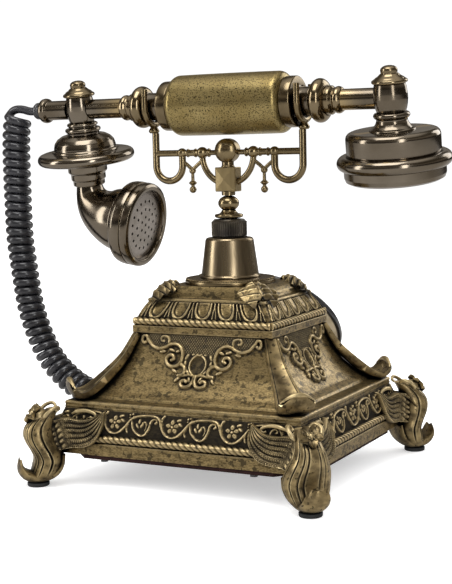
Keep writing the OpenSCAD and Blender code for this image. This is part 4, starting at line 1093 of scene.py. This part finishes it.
def post_line(r):
    return [(0.05, -7.6), (0.84 * r, -7.6), (0.9 * r, -6), (0.96 * r, -3.6), (r, -0.6), (0.99 * r, 2.4),
            (0.95 * r, 5.6), (0.9 * r, 7.8), (0.05, 7.8)]


def finial_line(brim):
    return [(0.05, 7.8), (brim - 0.9, 7.8), (brim - 0.2, 8.2), (brim, 8.9), (brim - 0.3, 9.6),
        (brim - 1.3, 10.2),
            (7.6, 11), (6.1, 11.9), (5.1, 12.9), (4.4, 13.2), (4.6, 13.7), (4.7, 15), (4.3, 16),
            (3.1, 16.9), (1.5, 17.35), (0.05, 17.4)]


posts, finials = Build(), Build()
for at, brim, middle in ((AT_MOUTH, 9.6, 8.6), (AT_EAR, 9.9, 9.4)):
    posts.lathe(rounded(post_line(middle), 0.4), at, 112)
    finials.lathe(rounded(finial_line(brim), 0.3), at, 112)
posts.make("posts_turned", "handset_brass", "handset", ["posts"])
finials.make("finials_turned", "ring_brass", "handset", ["finials"])

turned("tail", [
    (5.8, 106.5), (5.8, 120.5), (6.4, 120.9), (7.2, 121.7), (7.5, 123.2), (7.2, 124.7), (6.4, 125.5),
    (5.8, 125.8), (2.6, 125.8)], AT_AXIS, "handset_brass", "handset", ["tail_tube"], 0.25)
turned("bushing", [
    (2.6, 125.8), (5.4, 125.8), (5.4, 127.2), (4.9, 127.6), (4.9, 128.2), (5.1, 128.6), (5.0, 129.6),
    (4.5, 130), (4.3, 130.6), (2.6, BUSHING_X)],
    AT_AXIS, "black_plastic", "handset", ["cord_bushing"], 0.2,
    sides=64)


def handset_part(node, at, profile, radius=0.35, sides=96):
    """A turned brass shape in the place of one of the part's own."""
    turned(node + "_turned", profile, at, "handset_brass", "handset", [node], radius, sides)


# earpiece, from the cap up to the post
handset_part("ear_neck", AT_EAR,
       [(12.7, -17.2), (12.6, -16.6), (11.2, -15.9), (9.9, -14.7), (9.0, -13.4), (8.5, -12), (8.5, -11.1)]
       + on_circle(8.3, -9.3, 1.7, -75, 76, 15) + [(8.3, -7.6), (0.05, -7.6)], 0.2)
handset_part("ear_drum", AT_EAR, [
    (22.4, -31.4), (25.8, -31.4), (25.8, -20.4), (25.4, -19), (24.5, -17.9), (23.2, -17.3), (21.8, -17.2),
    (0.05, -17.2)], 0.4, 128)
handset_part("ear_ring", AT_EAR,
       [(22.4, -36.6), (27.5, -36.8)] + on_circle(27.5, -33.6, 3.9, -85, 116) + [(25.8, -31.4),
       (22.4, -31.4)], 0.1, 128)
# mouthpiece, from the foot of the elbow up to the post
handset_part("mouth_neck", AT_MOUTH, [
    (9.6, -14.4), (9.6, -13.5), (10.5, -12.9), (10.8, -11.9), (10.4, -11), (8.4, -10.5), (8.3, -10),
    (9.1, -9.5), (9.3, -8.8), (9.1, -8.1), (8, -7.6), (0.05, -7.6)], 0.25)
handset_part("mouth_dome", AT_MOUTH,
       [(0.05, -31.8), (22, -31.8), (26.1, -31.6)] + on_circle(26.1, -28.4, 3.2, -82, 85)
       + [(26, -25.2), (20.6, -24.9), (19.9, -24.6), (19.8, -23.7), (18.8, -23.2), (18.7, -21.8), (18, -19.2),
          (16.2, -16.9), (13.4, -15.2), (10.2, -14.4), (0.05, -14.4)], 0.35, 144)
handset_part("mouth_steps", AT_MOUTH, [
    (0.05, -46), (8.6, -46), (9.5, -45.5), (9.6, -44.9), (9.6, -42.9), (10, -42.5), (10.5, -41.9),
    (10.5, -38.8), (10.9, -38.2), (11.6, -37.7), (11.9, -37), (11.9, -33.9), (12.5, -33.4), (14, -33),
    (14.2, -32.4), (14, -31.8)], 0.3)

# elbow stations: centre x and z, radius, heading in degrees
ELBOW = [
    (98.6, -46, 7.8, -90), (98.5, -49, 8.4, -94), (98, -52, 9.5, -103), (96.6, -55.2, 11.2, -116),
    (94.2, -58.6, 13.2, -130), (90.8, -61.8, 15.2, -144), (86.6, -64.6, 17.1, -156),
    (82, -66.8, 18.5, -165), (77.6, -68.2, 19.2, -170.5)]
stations = smooth_line(ELBOW, 6)
around = even_angles(112)[None, :]
head = np.radians(stations[:, 3:4])
elbow_grid = np.stack([
    stations[:, 0:1] - stations[:, 2:3] * np.sin(around) * np.sin(head),
    stations[:, 2:3] * np.cos(around) * np.ones_like(head),
    stations[:, 1:2] + stations[:, 2:3] * np.sin(around) * np.cos(head)], -1)
elbow = Build().grid(elbow_grid, around=True, at=AT_HANDSET)
elbow.make("elbow_curved", "handset_brass", "handset", ["horn_elbow"])

turned("bell_turned", [
    (0.05, 0), (19.3, 0), (20.2, 0.5), (20.4, 1.2), (20.1, 2.1), (19.8, 2.5), (21.2, 3), (23.9, 3.5),
    (24.6, 4.3), (25.2, 6.2), (25.4, 8.8), (25.3, 11.3), (24.6, 11.4), (24.6, 11.8), (25.3, 11.9),
    (25.4, 13.6), (25.3, 15.2), (24.8, 16.5), (23.2, 17.2), (21.4, 16.9), (20.9, 15.8), (20.9, 13.4)],
    AT_HORN, "handset_brass", "handset", ["horn_bell"], 0.2, sides=144)

# ---- dial
AT_DIAL = shift(*DIAL_CENTRE) @ turn(90 - DIAL_TILT, "X")
HOLE_R, HOLE_CIRCLE_R, WHEEL_R, HOLE_COUNT = 6.4, 27.5, 37.0, 10
turned("cup_turned", [
    (4.3, -25), (30.2, -25), (31, -24.4), (33.6, -18.6), (34.3, -18.3), (34.5, -17.6), (34.2, -17.1),
    (39.5, -6.0), (41.5, -3.4), (41.5, -2.4)],
    AT_DIAL, "cup_plastic", "base", ["dial_cup"], 0.5, sides=144)
turned("bezel_turned", [
    (36, -2.4), (43.2, -2.4), (43.5, -1.6), (43.5, 0.4), (43.0, 1.3), (42.1, 1.8), (40.6, 1.7),
    (39.4, 0.9), (38.6, 0.2), (38.3, -0.4), (36, -0.4)],
    AT_DIAL, "black_plastic", "base", ["dial_bezel"], 0.25, sides=160)
turned("hub_cap_turned", [
    (2, 3.2), (15, 3.2), (15, 4.3), (14.6, 4.8), (13.6, 5.0), (13.2, 4.7), (12.6, 5.1), (11.8, 5.8),
    (8, 6.7), (4, 7.1), (0.05, 7.2)], AT_DIAL, "antique_brass", "dial_wheel", ["hub_cap"], 0.2)
HOLE_PLACES = on_circle(0, 0, HOLE_CIRCLE_R, -20, 30 * HOLE_COUNT - 20, 30)
HOLE_LIP = rounded([
    (HOLE_R, 1.45), (HOLE_R, 3.2), (HOLE_R + 0.35, 3.6), (HOLE_R + 1.0, 3.5),
    (HOLE_R + 1.5, 3.2)], 0.15)[::-1]
WHEEL_LIP = rounded([
    (WHEEL_R - 1.6, 1.4), (WHEEL_R, 1.4), (WHEEL_R + 0.3, 2.3), (WHEEL_R, 3.3), (WHEEL_R - 0.8, 3.6),
    (WHEEL_R - 1.8, 3.2)], 0.2)
lips = Build()
for x, y in HOLE_PLACES:
    lips.lathe(HOLE_LIP, AT_DIAL @ shift(x, y), 48)
lips.lathe(WHEEL_LIP, AT_DIAL, 160)
lips.make("wheel_lips", "black_plastic", "dial_wheel")

stop_at = AT_DIAL @ turn(-52, "Z")
hook = [(41.6, 0, 1.9), (41.6, 0, 3.6), (40.6, 0, 4.9), (38.4, 0, 5.1), (35.6, 0, 4.9), (33.4, 0, 4.9)]
stop = Build().tube(
    smooth_line(hook, 5), 0.62, 16, stop_at, shape=lambda a, t: 1 + 1.1 * np.abs(np.sin(a)) ** 1.5)
stop.make("finger_stop_hook", "steel", "base", ["finger_stop"])

DIGIT_SIZE, DIGIT_DEPTH = 7.4, 0.1


def digit(text, x, y):
    """The built-in typeface's figure as a thin solid, in the dial's own plane."""
    curve = bpy.data.curves.new("figure", "FONT")
    curve.body, curve.size, curve.extrude = text, DIGIT_SIZE, DIGIT_DEPTH
    curve.align_x, curve.align_y = "CENTER", "CENTER"
    holder = bpy.data.objects.new("figure", curve)
    bpy.context.collection.objects.link(holder)
    bpy.context.view_layer.update()
    mesh = holder.to_mesh()
    points = np.array([v.co for v in mesh.vertices]) + (x, y, 0)
    polygons = [list(p.vertices) for p in mesh.polygons]
    holder.to_mesh_clear()
    bpy.data.objects.remove(holder)
    return points, polygons


figures = Build()
figures_at = AT_DIAL @ shift(0, 0, DIGIT_DEPTH)
for k, (x, y) in enumerate(HOLE_PLACES):
    points, polygons = digit(str((k + 1) % 10), x, y)
    for corners in sorted({len(p) for p in polygons}):
        figures.add(points, np.array([p for p in polygons if len(p) == corners]), figures_at)
figures.make("dial_figures", "digit_ink", "base")
turned("number_plate_turned", [
    (4.3, -0.4), (37.9, -0.4), (38, -0.2), (37.6, 0), (4.3, 0)],
    AT_DIAL, "number_card", "base", ["number_plate"], 0.1, sides=144)

# ---- finishes of the part's own pieces
OWN_FINISHES = {
    "base_plate": "base_sheet", "screws": "black_plastic", "circuit_board": "board",
    "ringer": "black_plastic", "hook_switch": "plug_plastic", "switch_button": "button_plastic",
    "cord_socket": "black_plastic", "line_socket": "black_plastic", "dial_bush": "antique_brass",
    "finger_wheel": "black_plastic", "dial_spindle": "steel", "stem_clip": "steel", "core_tube": "steel",
    "ear_cap": "cap_metal", "receiver": "capsule", "mouth_grille": "grille_metal",
    "microphone": "capsule", "cord_plug": "plug_plastic"}
for node, finish in OWN_FINISHES.items():
    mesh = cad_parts[node].data
    mesh.materials.clear()
    mesh.materials.append(MAT[finish])

# ---- floor, light and film
floor_mesh = bpy.data.meshes.new("floor")
floor_mesh.from_pydata([(-4, -4, 0), (4, -4, 0), (4, 4, 0), (-4, 4, 0)], [], [(0, 1, 2, 3)])
floor = bpy.data.objects.new("floor", floor_mesh)
bpy.context.collection.objects.link(floor)
floor_white = surface(
    "floor_white", (0.95, 0.95, 0.95), (0.94, 0.94, 0.94), 3, rough=(0.7, 0.8), Specular_IOR_Level=0.0)
floor_mesh.materials.append(floor_white)
tree = floor_white.node_tree
reflected = add(tree, "LightPath").outputs["Is Glossy Ray"]
sockets = tree.nodes["Principled BSDF"].inputs
plain = sockets["Base Color"]
tree.links.new(mix(tree, reflected, plain.links[0].from_socket, (0.42, 0.41, 0.40)), plain)
tree.links.new(mix(tree, reflected, (1.0, 1.0, 1.0), (0.0, 0.0, 0.0)), sockets["Emission Color"])
sockets["Emission Strength"].default_value = 0.42


def softbox(name, place, aim, width, height, power):
    light = bpy.data.lights.new(name, "AREA")
    light.shape, light.size, light.size_y = "RECTANGLE", width, height
    light.energy = power
    lamp = bpy.data.objects.new(name, light)
    lamp.location = place
    lamp.rotation_euler = (Vector(aim) - Vector(place)).to_track_quat("-Z", "Y").to_euler()
    bpy.context.collection.objects.link(lamp)


MIDDLE = [(low + high) / 2 for low, high in zip(CAD_LOW, CAD_HIGH)]
softbox("overhead", (0.0, 0.35, 1.2), MIDDLE, 0.7, 0.7, 7)
softbox("left_strip", (1.1, 0.75, 0.5), MIDDLE, 0.3, 1.1, 6)
softbox("right_strip", (-0.9, 1.0, 0.45), MIDDLE, 0.25, 1.1, 5)
softbox("rear_strip", (-0.5, -1.2, 0.7), MIDDLE, 0.6, 0.8, 4)

world = bpy.data.worlds.new("studio")
bpy.context.scene.world = world
world.use_nodes = True
tree = world.node_tree
sky = tree.nodes["Background"]
glossy = add(tree, "LightPath").outputs["Is Glossy Ray"]
towards = add(tree, "SeparateXYZ", Vector=add(tree, "TexCoord").outputs["Generated"]).outputs
shade = ramp(tree, towards["Z"], (0.0, (0.035, 0.03, 0.025)), (0.16, (0.06, 0.05, 0.04)),
    (0.34, (0.34, 0.31, 0.27)),
             (0.46, (0.10, 0.085, 0.065)), (0.72, (0.13, 0.115, 0.09)), (0.9, (0.9, 0.87, 0.83)))
tree.links.new(mix(tree, glossy, (1.06, 1.06, 1.06), shade), sky.inputs["Color"])
sky.inputs["Strength"].default_value = 1.0
film = bpy.context.scene.view_settings
film.view_transform, film.look, film.exposure = "Standard", "None", 0.0
